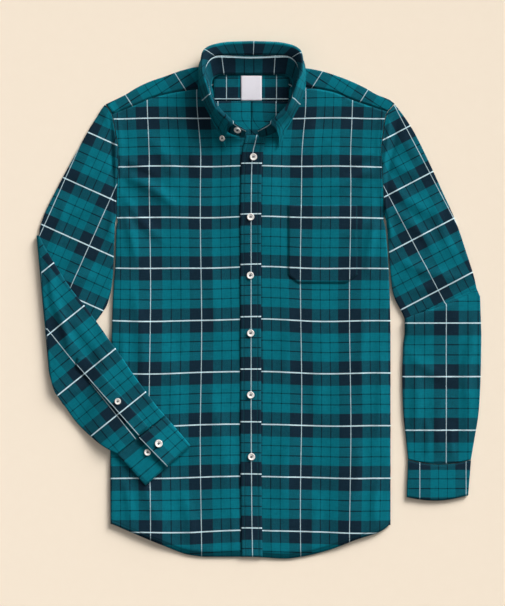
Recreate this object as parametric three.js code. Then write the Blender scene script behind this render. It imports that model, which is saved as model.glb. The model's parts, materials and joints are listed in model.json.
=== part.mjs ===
// A button-down flannel shirt laid flat on its back, front up.
// Millimetres. X runs to the viewer's right, Y up the shirt, Z up from the surface that it lies on.
// "Right" and "left" in the names are the wearer's: the right side is at negative X.

import * as THREE from 'three';

// Driving sizes
const cloth = 1.2;            // wall of one layer of flannel
const seamGap = 0.3;          // between two pieces that are sewn together
const layer = 1.6;            // from the middle of one layer to the middle of the next
const frontClear = 0.08;      // extra room between the back and the fronts
const floorLayer = cloth / 2; // middle of the layer that lies on the surface
const stiffCloth = 1.5;       // collar and cuffs, which have two layers with a stiffener
const trimWall = 0.8;         // neck label
const placketWidth = 34;
const buttonRadius = 5.9;
const buttonThickness = 2;
const collarButtonRadius = 4.8;
const pleatDepth = 18;        // half the width of the box pleat in the back
const innerYokeHalf = 59.6;   // half width of the inner yoke that shows in the neck

// Outline of the body. The sides are turned under along these edges up to the underarm.
const sideEdge = [
  { y: -420, right: -227, left: 226, turnedUnder: 55 },
  { y: -258, right: -228, left: 226, turnedUnder: 53 },
  { y: -71, right: -226, left: 226, turnedUnder: 46 },
  { y: 2, right: -224, left: 225, turnedUnder: 34 },
  { y: 66, right: -220, left: 222, turnedUnder: 17 },
  { y: 118, right: -218.5, left: 218, turnedUnder: 2 },
  { y: 141, right: -218, left: 216, turnedUnder: 2 },
  { y: 180, right: -217, left: 214, turnedUnder: 2 },
  { y: 215, right: -215, left: 212, turnedUnder: 2 },
  { y: 245, right: -215, left: 211, turnedUnder: 2 },
  { y: 277, right: -220, left: 214, turnedUnder: 2 },
  { y: 303, right: -225, left: 219, turnedUnder: 2 },
  { y: 319, right: -236, left: 232, turnedUnder: 2 },
];
const hemLine = [
  { x: -226, y: -360 }, { x: -194, y: -374 }, { x: -146, y: -394 }, { x: -99, y: -411 },
  { x: -71, y: -414 }, { x: 0, y: -414 }, { x: 55, y: -417 }, { x: 81, y: -414 },
  { x: 123, y: -404 }, { x: 173, y: -385 }, { x: 207, y: -374 }, { x: 226, y: -361 },
];
// Fold of the yoke over the shoulders
const shoulderFold = [
  { x: -237, y: 318 }, { x: -220, y: 326 }, { x: -202, y: 335 }, { x: -186, y: 345 },
  { x: -165, y: 355 }, { x: -139, y: 364 }, { x: -110, y: 374 }, { x: -86, y: 379 },
  { x: -62, y: 377 }, { x: 62, y: 377 }, { x: 86, y: 377 }, { x: 107, y: 374 },
  { x: 141, y: 364 }, { x: 164, y: 355 }, { x: 185, y: 345 }, { x: 202, y: 335 },
  { x: 224, y: 326 }, { x: 233, y: 319 },
];
// Top edge of the fronts: yoke seam, then neckline
const frontTop = [
  { x: -225, y: 302 }, { x: -190, y: 316 }, { x: -156, y: 330 }, { x: -115, y: 339 },
  { x: -87, y: 343 }, { x: -62, y: 345 }, { x: -60, y: 329 }, { x: -57, y: 306 },
  { x: -44, y: 283 }, { x: -26, y: 270 }, { x: -8, y: 266 }, { x: 10, y: 266 },
  { x: 27, y: 270 }, { x: 45, y: 283 }, { x: 57, y: 306 }, { x: 61, y: 329 },
  { x: 63, y: 347 }, { x: 84, y: 346 }, { x: 130, y: 339 }, { x: 168, y: 324 },
  { x: 219, y: 307 },
];
const underarm = 141;         // height of the underarm on the body's edge
const armholeTop = 319;       // and of the shoulder tip
const shoulderRow = 303;      // where the shoulder seam meets the armhole
const neckRow = 240;          // above this the rows of the panels spread up to the neckline
const turnEnd = 118;          // where the turned-under side starts to open out
const backNeck = 368.5;       // neck seam at the centre of the back
const yokeSeamCentre = 324;
const yokeSeamDrop = 46;      // fall of the back yoke seam from the centre to the armhole

// Soft swells of the fronts, where the cloth stands off the back
const swells = [
  { x: -150, y: 190, along: 90, across: 34, turn: 20, rise: 1.5 },
  { x: -95, y: 40, along: 130, across: 30, turn: -8, rise: 1.2 },
  { x: -160, y: -90, along: 70, across: 26, turn: 12, rise: 0.9 },
  { x: -70, y: -230, along: 120, across: 34, turn: 6, rise: 1.3 },
  { x: -170, y: -320, along: 60, across: 24, turn: -14, rise: 1.1 },
  { x: 120, y: 215, along: 60, across: 30, turn: -24, rise: 1.4 },
  { x: 95, y: -40, along: 110, across: 34, turn: 10, rise: 1.4 },
  { x: 165, y: -150, along: 120, across: 28, turn: -6, rise: 1.2 },
  { x: 60, y: -280, along: 90, across: 30, turn: 4, rise: 1.2 },
  { x: 160, y: -330, along: 50, across: 26, turn: 18, rise: 1.0 },
];

const flannel = new THREE.Color(0x0e5560);
const blueFlannel = new THREE.Color(0x12404f);
const offWhite = new THREE.Color(0xe6e3da);
const labelWhite = new THREE.Color(0xe9e8ec);

const shirt = new THREE.Group();

// Small maths helpers

function smooth(low, high, value) {
  const t = Math.min(Math.max((value - low) / (high - low), 0), 1);
  return t * t * (3 - 2 * t);
}

function mix(a, b, t) {
  return a + (b - a) * t;
}

// Value of a column of a table at a place between its rows, on a smooth curve through them
function read(rows, key, column, value) {
  const last = rows.length - 1;
  if (value <= rows[0][key]) return rows[0][column];
  if (value >= rows[last][key]) return rows[last][column];
  let i = 0;
  while (value > rows[i + 1][key]) i += 1;
  const step = (k) => (rows[k + 1][column] - rows[k][column]) / (rows[k + 1][key] - rows[k][key]);
  const slope = (k) => {
    const before = step(Math.max(k - 1, 0));
    const after = step(Math.min(k, last - 1));
    return before * after <= 0 ? 0 : 2 * before * after / (before + after);
  };
  const span = rows[i + 1][key] - rows[i][key];
  const t = (value - rows[i][key]) / span;
  const a = rows[i][column];
  const b = rows[i + 1][column];
  return a + (b - a) * t * t * (3 - 2 * t)
    + span * t * (1 - t) * (slope(i) * (1 - t) - slope(i + 1) * t);
}

// A row of a table between two rows, every column at once
function rowAt(rows, t) {
  const place = rows.map((row, index) => ({ ...row, index }));
  const result = {};
  for (const column of Object.keys(rows[0])) {
    result[column] = read(place, 'index', column, t * (rows.length - 1));
  }
  return result;
}

// Heights of the layers, each to the middle of its wall

function bodyEdge(side, y) {
  return read(sideEdge, 'y', side, y);
}

function insideEdge(x, y) {
  return x < 0 ? x - bodyEdge('right', y) : bodyEdge('left', y) - x;
}

function backHeight(x, y) {
  const turned = read(sideEdge, 'y', 'turnedUnder', y);
  const belowUnderarm = 1 - smooth(turnEnd - 4, underarm, y);
  const side = belowUnderarm * (1 - smooth(turned + 16, turned + 64, insideEdge(x, y)));
  const pleat = smooth(60, 130, y) * (1 - smooth(26, 60, Math.abs(x)));
  const yoke = 0.5 * smooth(282, 316, y) * (1 - smooth(110, 190, Math.abs(x)));
  return floorLayer + 2 * layer * Math.max(side, pleat, yoke);
}

function frontLoft(x, y) {
  let loft = 0;
  for (const swell of swells) {
    const turn = THREE.MathUtils.degToRad(swell.turn);
    const dx = x - swell.x;
    const dy = y - swell.y;
    const across = (dx * Math.cos(turn) + dy * Math.sin(turn)) / swell.across;
    const along = (dy * Math.cos(turn) - dx * Math.sin(turn)) / swell.along;
    loft += swell.rise * Math.exp(-across * across - along * along);
  }
  return loft * smooth(8, 34, insideEdge(x, y));
}

// The seam allowance lifts the cloth along the armhole
function armholeRidge(x, y) {
  const ridge = 1.8 * smooth(underarm, underarm + 40, y);
  return ridge * Math.exp(-((insideEdge(x, y) / 9) ** 2));
}

function frontHeight(x, y) {
  return backHeight(x, y) + layer + frontClear + frontLoft(x, y) + armholeRidge(x, y);
}

// Closed wall around a grid of points: rows of equal length, on the middle of the cloth

function wallGeometry(grid, thickness, ring) {
  const rows = grid.length;
  const columns = grid[0].length;
  const at = (r, c) => grid[r][c];
  const vertices = [];
  const sides = [thickness / 2, -thickness / 2];
  for (const offset of sides) {
    for (let r = 0; r < rows; r += 1) {
      for (let c = 0; c < columns; c += 1) {
        const before = ring ? at(r, (c + columns - 1) % columns) : at(r, Math.max(c - 1, 0));
        const after = ring ? at(r, (c + 1) % columns) : at(r, Math.min(c + 1, columns - 1));
        const across = after.clone().sub(before);
        const along = at(Math.min(r + 1, rows - 1), c).clone().sub(at(Math.max(r - 1, 0), c));
        const normal = across.cross(along).normalize();
        const p = at(r, c).clone().addScaledVector(normal, offset);
        vertices.push(p.x, p.y, p.z);
      }
    }
  }
  const index = [];
  const id = (side, r, c) => side * rows * columns + r * columns + (c % columns);
  const quad = (a, b, c, d) => index.push(a, b, c, a, c, d);
  const cells = ring ? columns : columns - 1;
  for (let r = 0; r < rows - 1; r += 1) {
    for (let c = 0; c < cells; c += 1) {
      quad(id(0, r, c), id(0, r, c + 1), id(0, r + 1, c + 1), id(0, r + 1, c));
      quad(id(1, r, c), id(1, r + 1, c), id(1, r + 1, c + 1), id(1, r, c + 1));
    }
    if (!ring) {
      quad(id(0, r, 0), id(0, r + 1, 0), id(1, r + 1, 0), id(1, r, 0));
      const end = columns - 1;
      quad(id(0, r, end), id(1, r, end), id(1, r + 1, end), id(0, r + 1, end));
    }
  }
  for (let c = 0; c < cells; c += 1) {
    quad(id(0, 0, c), id(1, 0, c), id(1, 0, c + 1), id(0, 0, c + 1));
    quad(id(0, rows - 1, c), id(0, rows - 1, c + 1), id(1, rows - 1, c + 1), id(1, rows - 1, c));
  }
  const geometry = new THREE.BufferGeometry();
  geometry.setAttribute('position', new THREE.Float32BufferAttribute(vertices, 3));
  geometry.setIndex(index);
  if (volumeOf(geometry) < 0) {
    for (let i = 0; i < index.length; i += 3) [index[i + 1], index[i + 2]] = [index[i + 2], index[i + 1]];
    geometry.setIndex(index);
  }
  geometry.computeVertexNormals();
  return geometry;
}

function volumeOf(geometry) {
  const position = geometry.getAttribute('position');
  const index = geometry.getIndex().array;
  const corner = [new THREE.Vector3(), new THREE.Vector3(), new THREE.Vector3()];
  let volume = 0;
  for (let i = 0; i < index.length; i += 3) {
    corner.forEach((v, k) => v.fromBufferAttribute(position, index[i + k]));
    volume += corner[0].dot(corner[1].clone().cross(corner[2])) / 6;
  }
  return volume;
}

function addMesh(name, geometry, color, roughness) {
  const mesh = new THREE.Mesh(geometry, new THREE.MeshStandardMaterial({ color, roughness, metalness: 0 }));
  mesh.name = name;
  shirt.add(mesh);
  return mesh;
}

function addWall(name, grid, { thickness = cloth, color = flannel, ring = false } = {}) {
  addMesh(name, wallGeometry(grid, thickness, ring), color, 0.95);
}

// Fronts and back

// Heights of the rows of a body panel: the first follows the hem, the last ones reach the top edge
const frontRows = [-338, -275, -210, -145, -80, -20, 35, 80, turnEnd, 130, underarm, 176, 212];
const hiddenRows = [-338, -275, -145, -20, 35, 80, turnEnd, 130, underarm, 176];

function panelRows(middle, bottom, top) {
  const upper = [0, 0.25, 0.5, 0.75, 1].map((t) => mix(neckRow, top, t));
  return [bottom, ...middle, ...upper];
}

// Side of a panel, turned under the body: offsets out from the fold's centre and down from the panel.
// Past the underarm it opens out flat to the armhole seam.
function turnedSide(radius, turned, open, reach) {
  const steps = 4;
  const points = [];
  for (let k = 0; k <= steps; k += 1) {
    const angle = Math.PI * k / steps;
    points.push({ out: radius * Math.sin(angle), down: radius * (1 - Math.cos(angle)) });
  }
  for (const part of [0.5, 1]) points.push({ out: -turned * part, down: 2 * radius });
  const flatStep = 1.4;
  const flatStart = reach - flatStep * (points.length - 1);
  return points.map((p, k) => ({
    out: mix(p.out, flatStart + k * flatStep, open),
    down: p.down * (1 - open),
  }));
}

const foldInset = 3;          // from the body's outline to the centre of its side fold

function sidePoints(side, y, height, lowest, openFrom, openTo, edgeGap) {
  const sign = side === 'right' ? -1 : 1;
  const foldCentre = sign * bodyEdge(side, y) - foldInset;
  const turned = read(sideEdge, 'y', 'turnedUnder', y);
  const open = smooth(openFrom, openTo, y);
  const radius = (height - lowest) / 2;
  return turnedSide(radius, Math.max(turned, 0.5), open, foldInset - edgeGap).map((p) => ({
    x: sign * (foldCentre + p.out),
    down: p.down,
  }));
}

// Columns of the panels, from the neck to the side; past evenTo they close up to the side fold
const outerColumns = [108, 124, 140, 156, 173, 190, 207];
const lastColumn = outerColumns.at(-1);
const evenTo = 92;
const flatReach = 17;         // from the last column to the centre of the side fold

function columnPlace(column, side, y) {
  const sign = side === 'right' ? -1 : 1;
  const out = sign * column;
  if (out <= evenTo) return column;
  const last = sign * bodyEdge(side, y) - foldInset - flatReach;
  return sign * mix(evenTo, last, (out - evenTo) / (lastColumn - evenTo));
}

function frontPanel(side, innerColumns) {
  const sign = side === 'right' ? -1 : 1;
  const columns = [...innerColumns, ...outerColumns.map((x) => sign * x)];
  const heights = (x) => (
    panelRows(frontRows, read(hemLine, 'x', 'y', x), read(frontTop, 'x', 'y', x) - 2 * seamGap)
  );
  const rowCount = heights(0).length;
  const grid = [];
  for (let r = 0; r < rowCount; r += 1) {
    const outerY = heights(bodyEdge(side, shoulderRow))[r];
    const edgeHeight = frontHeight(bodyEdge(side, outerY) - sign * foldInset, outerY);
    const fold = sidePoints(side, outerY, edgeHeight, floorLayer, turnEnd, underarm, seamGap / 2);
    const row = columns.map((column) => {
      const x = columnPlace(column, side, outerY);
      const y = heights(x)[r];
      return new THREE.Vector3(x, y, frontHeight(x, y));
    });
    const open = smooth(turnEnd, underarm, outerY);
    for (const p of fold) {
      row.push(new THREE.Vector3(p.x, mix(outerY, heights(p.x)[r], open), edgeHeight - p.down));
    }
    grid.push(row);
  }
  return grid;
}

const standEdge = 14;         // edge of the right front under the placket
addWall('front_right', frontPanel('right', [
  standEdge, -6, -20, -34, -45, -52, -57, -60, -63.5, -76, -92,
]));
addWall('front_left', frontPanel('left', [
  standEdge + seamGap, 26, 34, 45, 52, 57, 61, 63.5, 76, 92,
]));

function yokeBackSeam(x) {
  return yokeSeamCentre - yokeSeamDrop * (Math.max(Math.abs(x) - 40, 0) / 185) ** 2;
}

// The box pleat: columns across the middle of the back, folded at the yoke and open further down
function pleatColumns(y) {
  const folded = smooth(90, 170, y);
  const raised = smooth(60, 130, y) * 2 * layer;
  const half = [
    { flat: 26, fold: 1.8, down: 0 }, { flat: 22, fold: 0.9, down: 0.25 }, { flat: 18, fold: 1.8, down: 0.5 },
    { flat: 13, fold: pleatDepth, down: 0.5 }, { flat: 8, fold: pleatDepth + 0.8, down: 0.75 },
    { flat: 4, fold: pleatDepth, down: 1 },
  ];
  const points = half.map((p) => ({ x: -mix(p.flat, p.fold, folded), down: p.down * raised }));
  const middle = { x: 0, down: raised };
  return [...points, middle, ...points.map((p) => ({ x: -p.x, down: p.down })).reverse()];
}

function backPanel() {
  const columns = [...[...outerColumns].reverse(), 92, 76, 60, 52, 45, 34];
  const hemRise = 2.5;
  const outerRow = 280;   // the outermost column takes its heights from the panel's edge here
  const heights = (x) => (
    panelRows(hiddenRows, read(hemLine, 'x', 'y', x) + hemRise, yokeBackSeam(x) - 2 * seamGap)
  );
  const rowCount = heights(0).length;
  const grid = [];
  for (let r = 0; r < rowCount; r += 1) {
    const half = (side) => {
      const sign = side === 'right' ? -1 : 1;
      const outerY = heights(bodyEdge(side, outerRow))[r];
      const edgeHeight = backHeight(bodyEdge(side, outerY) - sign * foldInset, outerY);
      const inset = outerY > underarm + 1 ? seamGap / 2 : 10;
      const fold = sidePoints(side, outerY, edgeHeight, edgeHeight - layer, 84, turnEnd - 4, inset);
      const open = smooth(turnEnd, underarm, outerY);
      const points = fold.map((p) => (
        new THREE.Vector3(p.x, mix(outerY, heights(p.x)[r], open), edgeHeight - p.down)
      )).reverse();
      for (const column of columns) {
        const x = columnPlace(sign * column, side, outerY);
        const y = heights(x)[r];
        points.push(new THREE.Vector3(x, y, backHeight(x, y)));
      }
      return points;
    };
    const middleY = heights(0)[r];
    const pleat = pleatColumns(middleY).map((p) => (
      new THREE.Vector3(p.x, middleY, backHeight(0, middleY) - p.down)
    ));
    grid.push([...half('right'), ...pleat, ...half('left').reverse()]);
  }
  return grid;
}
addWall('back_panel', backPanel());

// Yoke: flat under the back of the neck, folded over the shoulders to the front seam.
// Its lines run up from the back seam: behind the neck, or over a shoulder.
function neckLine(x) {
  const shares = [0, 0.45, 0.8, 0.84, 0.87, 0.9, 0.93, 0.96, 0.98, 1];
  return shares.map((t) => new THREE.Vector3(x, mix(yokeBackSeam(x), backNeck, t), floorLayer));
}

// A line over a shoulder, at a column of the fronts or at an inset from the armhole
function shoulderLine({ side, column, inset }) {
  const sign = side === 'right' ? -1 : 1;
  const frontSeam = (x) => read(frontTop, 'x', 'y', x);
  const edgeAt = (y) => Math.abs(bodyEdge(side, Math.min(y, armholeTop)));
  const acrossAt = (y, seam) => {
    if (column === undefined) return sign * (edgeAt(y) - inset);
    const share = Math.max(column - evenTo, 0) / (lastColumn - evenTo);
    return columnPlace(sign * column, side, shoulderRow) + sign * share * (edgeAt(y) - edgeAt(seam));
  };
  const settle = (edge, seam) => {
    let y = edge(acrossAt(shoulderRow, seam));
    for (let k = 0; k < 3; k += 1) y = edge(acrossAt(y, seam));
    return y;
  };
  const seam = column === undefined
    ? settle(frontSeam, shoulderRow)
    : frontSeam(columnPlace(sign * column, side, shoulderRow));
  const place = (y, z) => new THREE.Vector3(acrossAt(y, seam), y, z);
  const top = frontHeight(acrossAt(seam, seam), seam);
  const radius = (top - floorLayer) / 2;
  const start = settle(yokeBackSeam, seam);
  const foldCentre = settle((x) => read(shoulderFold, 'x', 'y', x), seam) - radius - cloth / 2;
  const profile = [0, 0.45, 0.85, 1].map((t) => place(mix(start, foldCentre, t), floorLayer));
  const foldSteps = 4;
  for (let k = 1; k <= foldSteps; k += 1) {
    const angle = Math.PI * k / foldSteps;
    profile.push(place(foldCentre + radius * Math.sin(angle), floorLayer + radius * (1 - Math.cos(angle))));
  }
  for (const t of [0.5, 1]) profile.push(place(mix(foldCentre, seam, t), top));
  return profile;
}

function yokePanel() {
  const wing = [63.5, 76, evenTo, ...outerColumns].map((column) => ({ column }));
  for (const inset of [12, seamGap / 2]) wing.push({ inset });
  return [
    ...wing.map((place) => shoulderLine({ ...place, side: 'right' })).reverse(),
    ...[-61.2, -39, 0, 39, 61.2].map((x) => neckLine(x)),
    ...wing.map((place) => shoulderLine({ ...place, side: 'left' })),
  ];
}
addWall('yoke', yokePanel());

// Inner yoke, seen in the neck
function innerYoke() {
  const grid = [];
  const steps = 8;
  for (let k = 0; k <= steps; k += 1) {
    const x = mix(-innerYokeHalf, innerYokeHalf, k / steps);
    const top = backNeck - 0.5;
    const row = [];
    for (const t of [0, 0.33, 0.66, 1]) {
      row.push(new THREE.Vector3(x, mix(yokeBackSeam(x), top, t), floorLayer + layer));
    }
    grid.push(row);
  }
  return grid;
}
addWall('yoke_inner', innerYoke());

// Neck label, left blank
const label = { width: 33.5, top: 364.6, bottom: 324.4, x: 0.5 };
label.height = floorLayer + layer + cloth / 2 + seamGap + trimWall / 2;

function labelSide(sign) {
  const x = label.x + sign * label.width / 2;
  return [0, 0.5, 1].map((t) => new THREE.Vector3(x, mix(label.bottom, label.top, t), label.height));
}
addWall('neck_label', [labelSide(-1), labelSide(1)], { thickness: trimWall, color: labelWhite });

// Front placket: a band along the edge of the left front, over the edge of the right front
const placketLine = [
  { y: -417, x: 1.8 }, { y: -350, x: 0.6 }, { y: -152, x: -0.6 }, { y: 131, x: -0.6 },
  { y: 200, x: 0 }, { y: 220, x: 0.6 }, { y: 243, x: 2.8 }, { y: 256, x: 6 }, { y: 270, x: 9 },
];
const placketTop = 269;
const placketBottom = -414;

function placketHeight(x, y) {
  return frontHeight(x, y) + layer;
}

function placketGrid() {
  const grid = [];
  const steps = 18;
  for (let k = 0; k <= steps; k += 1) {
    const row = [];
    for (const across of [-0.5, -0.2, 0.2, 0.5]) {
      const y = mix(placketBottom, placketTop, k / steps);
      const x = read(placketLine, 'y', 'x', y) + across * placketWidth;
      const lowered = y > neckRow - 10 ? neckRow : y;
      row.push(new THREE.Vector3(x, k === 0 ? read(hemLine, 'x', 'y', x) : y, placketHeight(x, lowered)));
    }
    grid.push(row);
  }
  return grid;
}
addWall('placket', placketGrid());

// Chest pocket on the left front
const pocket = {
  inner: 60, outer: 172.5, top: 155.5, bottom: 29,
  corner: 42, cutInner: 0.14, cutOuter: 0.16,   // height of the cut corners, and their shares of the width
};

function pocketGrid() {
  const grid = [];
  for (const t of [0, pocket.cutInner, 0.3, 0.5, 0.7, 1 - pocket.cutOuter, 1]) {
    const x = mix(pocket.inner, pocket.outer, t);
    const cut = Math.max(1 - t / pocket.cutInner, 1 - (1 - t) / pocket.cutOuter, 0);
    const low = mix(pocket.bottom, pocket.corner, cut);
    const row = [];
    for (let k = 0; k <= 5; k += 1) {
      const y = mix(low, pocket.top, k / 5);
      row.push(new THREE.Vector3(x, y, frontHeight(x, y) + layer));
    }
    grid.push(row);
  }
  return grid;
}
addWall('pocket', pocketGrid());

// Sleeves: flat tubes. Each row is a ring from its inner edge, a, to its outer edge, b.
// Loop of one ring: distance along it from a, and height in the flat tube
const ringAcross = 7;
const ringBend = 3;

function ringLoop(length, deep) {
  const r = deep / 2;
  const loop = [];
  for (let k = 0; k <= ringAcross; k += 1) {
    loop.push({ s: mix(r, length - r, k / ringAcross), h: floorLayer });
  }
  for (let k = 1; k < ringBend; k += 1) {
    const angle = Math.PI * k / ringBend;
    loop.push({ s: length - r + r * Math.sin(angle), h: floorLayer + r * (1 - Math.cos(angle)) });
  }
  for (let k = 0; k <= ringAcross; k += 1) {
    loop.push({ s: mix(length - r, r, k / ringAcross), h: floorLayer + deep, top: true });
  }
  for (let k = 1; k < ringBend; k += 1) {
    const angle = Math.PI * k / ringBend;
    loop.push({ s: r - r * Math.sin(angle), h: floorLayer + r * (1 + Math.cos(angle)) });
  }
  return loop;
}

// Maps a ring to points: place(u, h, top) gives the point at share u from a to b
function ring(row, place) {
  const length = Math.hypot(row.bx - row.ax, row.by - row.ay);
  return ringLoop(length, row.deep).map((p) => place(p.s / length, p.h, Boolean(p.top)));
}

// Ends of a ring, kept clear of the body's side
function clearOfBody(side, row) {
  const edge = bodyEdge(side, row.ay);
  const clear = 0.9;
  const ax = side === 'right' ? Math.min(row.ax, edge - clear) : Math.max(row.ax, edge + clear);
  return { ...row, ax };
}

// The first rings bend to the armhole seam
function armholeBow(side, u) {
  const y = mix(underarm + 1, armholeTop - 1, u);
  const straight = mix(bodyEdge(side, underarm), bodyEdge(side, armholeTop), u);
  return bodyEdge(side, y) - straight;
}

const rightUpper = [
  { ax: -218, ay: 141, bx: -237, by: 317.5, deep: 3.4, bow: 1 },
  { ax: -220, ay: 130, bx: -242, by: 311, deep: 3.4, bow: 0.95 },
  { ax: -221, ay: 115, bx: -248, by: 301, deep: 2.2, bow: 0.85 },
  { ax: -222, ay: 84, bx: -262, by: 278, deep: 3.0, bow: 0.55 },
  { ax: -224, ay: 40, bx: -281, by: 243, deep: 3.2, bow: 0.2 },
  { ax: -232, ay: -2, bx: -300, by: 208, deep: 3.0, bow: 0 },
  { ax: -253, ay: -35, bx: -318, by: 174, deep: 3.0, bow: 0 },
  { ax: -279, ay: -72, bx: -333, by: 143, deep: 3.0, bow: 0 },
  { ax: -302, ay: -106, bx: -341, by: 120, deep: 3.0, bow: 0 },
];
const rightFold = { ax: -321, ay: -136, bx: -343, by: 106, deep: 3.0, bow: 0 };
const rightLower = [
  { ax: -319, ay: -142, bx: -336, by: 91, deep: 3.0 },
  { ax: -316, ay: -149, bx: -318, by: 60, deep: 3.0 },
  { ax: -311, ay: -156, bx: -290, by: 18, deep: 3.0 },
  { ax: -309, ay: -159, bx: -271, by: -6, deep: 3.0 },
  { ax: -307, ay: -162, bx: -252, by: -31, deep: 3.0 },
  { ax: -304.5, ay: -166, bx: -233, by: -58, deep: 3.0 },
  { ax: -301, ay: -170, bx: -214, by: -84, deep: 3.0 },
  { ax: -284, ay: -194, bx: -193, by: -115, deep: 3.0 },
  { ax: -261, ay: -217, bx: -172, by: -144, deep: 3.0 },
  { ax: -238, ay: -235, bx: -155, by: -167, deep: 3.0 },
  { ax: -216, ay: -247, bx: -139, by: -186, deep: 3.0 },
];
const foldedTop = rightFold.deep + cloth;             // height of the upper sleeve where it is folded
const foldAxis = foldedTop + (layer - cloth) / 2;     // height of the axis of the fold

// Height of what the folded sleeve lies on. It comes down gently past the inner edge of the upper
// sleeve, a line through x, y at a slant, and past the edge of the body.
const upperInner = { x: -235, y: -5, slant: 34.2, from: 4, to: 62 };
const bodyOuter = { from: 4, to: 54 };

function underFoldedSleeve(x, y) {
  const slant = THREE.MathUtils.degToRad(upperInner.slant);
  const pastUpper = (x - upperInner.x) * Math.cos(slant) - (y - upperInner.y) * Math.sin(slant);
  const pastBody = bodyEdge('right', y) - x;
  const bodyTop = frontHeight(Math.max(x, bodyEdge('right', y) + 3), y) + cloth / 2;
  const upper = foldedTop * (1 - smooth(upperInner.from, upperInner.to, pastUpper));
  const body = bodyTop * (1 - smooth(bodyOuter.from, bodyOuter.to, pastBody));
  return Math.max(upper, body) + layer - cloth;
}

function rightSleeve() {
  const grid = [];
  const planPoint = (row, u) => ({ x: mix(row.ax, row.bx, u), y: mix(row.ay, row.by, u) });
  for (const plain of rightUpper) {
    const row = clearOfBody('right', plain);
    grid.push(ring(row, (u, h) => {
      const p = planPoint(row, u);
      return new THREE.Vector3(p.x + row.bow * armholeBow('right', u), p.y, h);
    }));
  }
  const along = new THREE.Vector3(rightFold.bx - rightFold.ax, rightFold.by - rightFold.ay, 0).normalize();
  const outward = new THREE.Vector3(-along.y, along.x, 0);
  const foldSteps = 6;
  for (let k = 0; k <= foldSteps; k += 1) {
    const angle = Math.PI * k / foldSteps;
    grid.push(ring(rightFold, (u, h) => {
      const p = planPoint(rightFold, u);
      const radius = foldAxis - h;
      return new THREE.Vector3(p.x, p.y, foldAxis - radius * Math.cos(angle))
        .addScaledVector(outward, radius * Math.sin(angle));
    }));
  }
  for (const row of rightLower) {
    grid.push(ring(row, (u, h) => {
      const p = planPoint(row, u);
      return new THREE.Vector3(p.x, p.y, underFoldedSleeve(p.x, p.y) + row.deep + cloth - h);
    }));
  }
  return grid;
}
addWall('sleeve_right', rightSleeve(), { ring: true });

const leftUpper = [
  { ax: 216, ay: 141, bx: 233, by: 318, deep: 3.4, bow: 1 },
  { ax: 219, ay: 130, bx: 238, by: 312, deep: 3.4, bow: 0.95 },
  { ax: 221, ay: 115, bx: 245, by: 303, deep: 2.2, bow: 0.85 },
  { ax: 223, ay: 84, bx: 262, by: 277, deep: 3.0, bow: 0.55 },
  { ax: 226, ay: 45, bx: 285, by: 231, deep: 3.4, bow: 0.2 },
  { ax: 229, ay: 18, bx: 308, by: 180, deep: 3.4, bow: 0 },
  { ax: 234, ay: 2, bx: 331, by: 129, deep: 3.4, bow: 0 },
  { ax: 240, ay: -10, bx: 349, by: 76, deep: 3.2, bow: 0 },
  { ax: 246, ay: -21, bx: 361, by: 38, deep: 3.0, bow: 0 },
];
const leftTuck = { ax: 249, ay: -29, bx: 365, by: 20, deep: 3.0 };
const leftLower = [
  { ax: 246.5, ay: -71, bx: 372.5, by: -56, deep: 3.6, sag: 0 },
  { ax: 245, ay: -122, bx: 371.5, by: -117, deep: 3.4, sag: 1 },
  { ax: 246.5, ay: -177, bx: 368.5, by: -176, deep: 3.2, sag: 3 },
  { ax: 251, ay: -222, bx: 361.5, by: -222, deep: 3.0, sag: 5 },
  { ax: 254.5, ay: -256.5, bx: 355.5, by: -257, deep: 3.0, sag: 7 },
];
// The tuck at the inner elbow: the lower sleeve's lip lies over the upper sleeve
const tuckSteps = [
  { flat: -2, fold: 0, up: 0 }, { flat: 0, fold: 13, up: 0 }, { flat: 2, fold: 14, up: 0.25 },
  { flat: 4, fold: 13, up: 0.5 }, { flat: 6, fold: 0.8, up: 0.5 }, { flat: 8, fold: 0, up: 0.75 },
  { flat: 10, fold: 0.8, up: 1 }, { flat: 16, fold: 14, up: 1 }, { flat: 26, fold: 28, up: 0.72 },
];

function leftSleeve() {
  const grid = [];
  const planPoint = (row, u) => ({
    x: mix(row.ax, row.bx, u),
    y: mix(row.ay, row.by, u) - (row.sag ?? 0) * Math.sin(Math.PI * u),
  });
  for (const plain of leftUpper) {
    const row = clearOfBody('left', plain);
    grid.push(ring(row, (u, h) => {
      const p = planPoint(row, u);
      return new THREE.Vector3(p.x + row.bow * armholeBow('left', u), p.y, h);
    }));
  }
  const along = new THREE.Vector3(leftTuck.bx - leftTuck.ax, leftTuck.by - leftTuck.ay, 0).normalize();
  const grain = new THREE.Vector3(along.y, -along.x, 0);
  for (const step of tuckSteps) {
    grid.push(ring(leftTuck, (u, h, top) => {
      const p = planPoint(leftTuck, u);
      const overlap = top ? 1 - smooth(0.1, 0.62, u) : 0;
      const lifted = top ? 1 - smooth(0.55, 0.95, u) : 0;
      const shift = mix(step.flat, step.fold, overlap) * mix(0.55, 1, 1 - u);
      const fromEdge = smooth(0, 0.14, u);   // the inner edge of the sleeve stays where it is across
      return new THREE.Vector3(
        p.x + grain.x * shift * fromEdge,
        p.y + grain.y * shift,
        h + 2 * layer * step.up * lifted,
      );
    }));
  }
  for (const row of leftLower) {
    grid.push(ring(row, (u, h) => {
      const p = planPoint(row, u);
      return new THREE.Vector3(p.x, p.y, h);
    }));
  }
  return grid;
}
addWall('sleeve_left', leftSleeve(), { ring: true });

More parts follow.
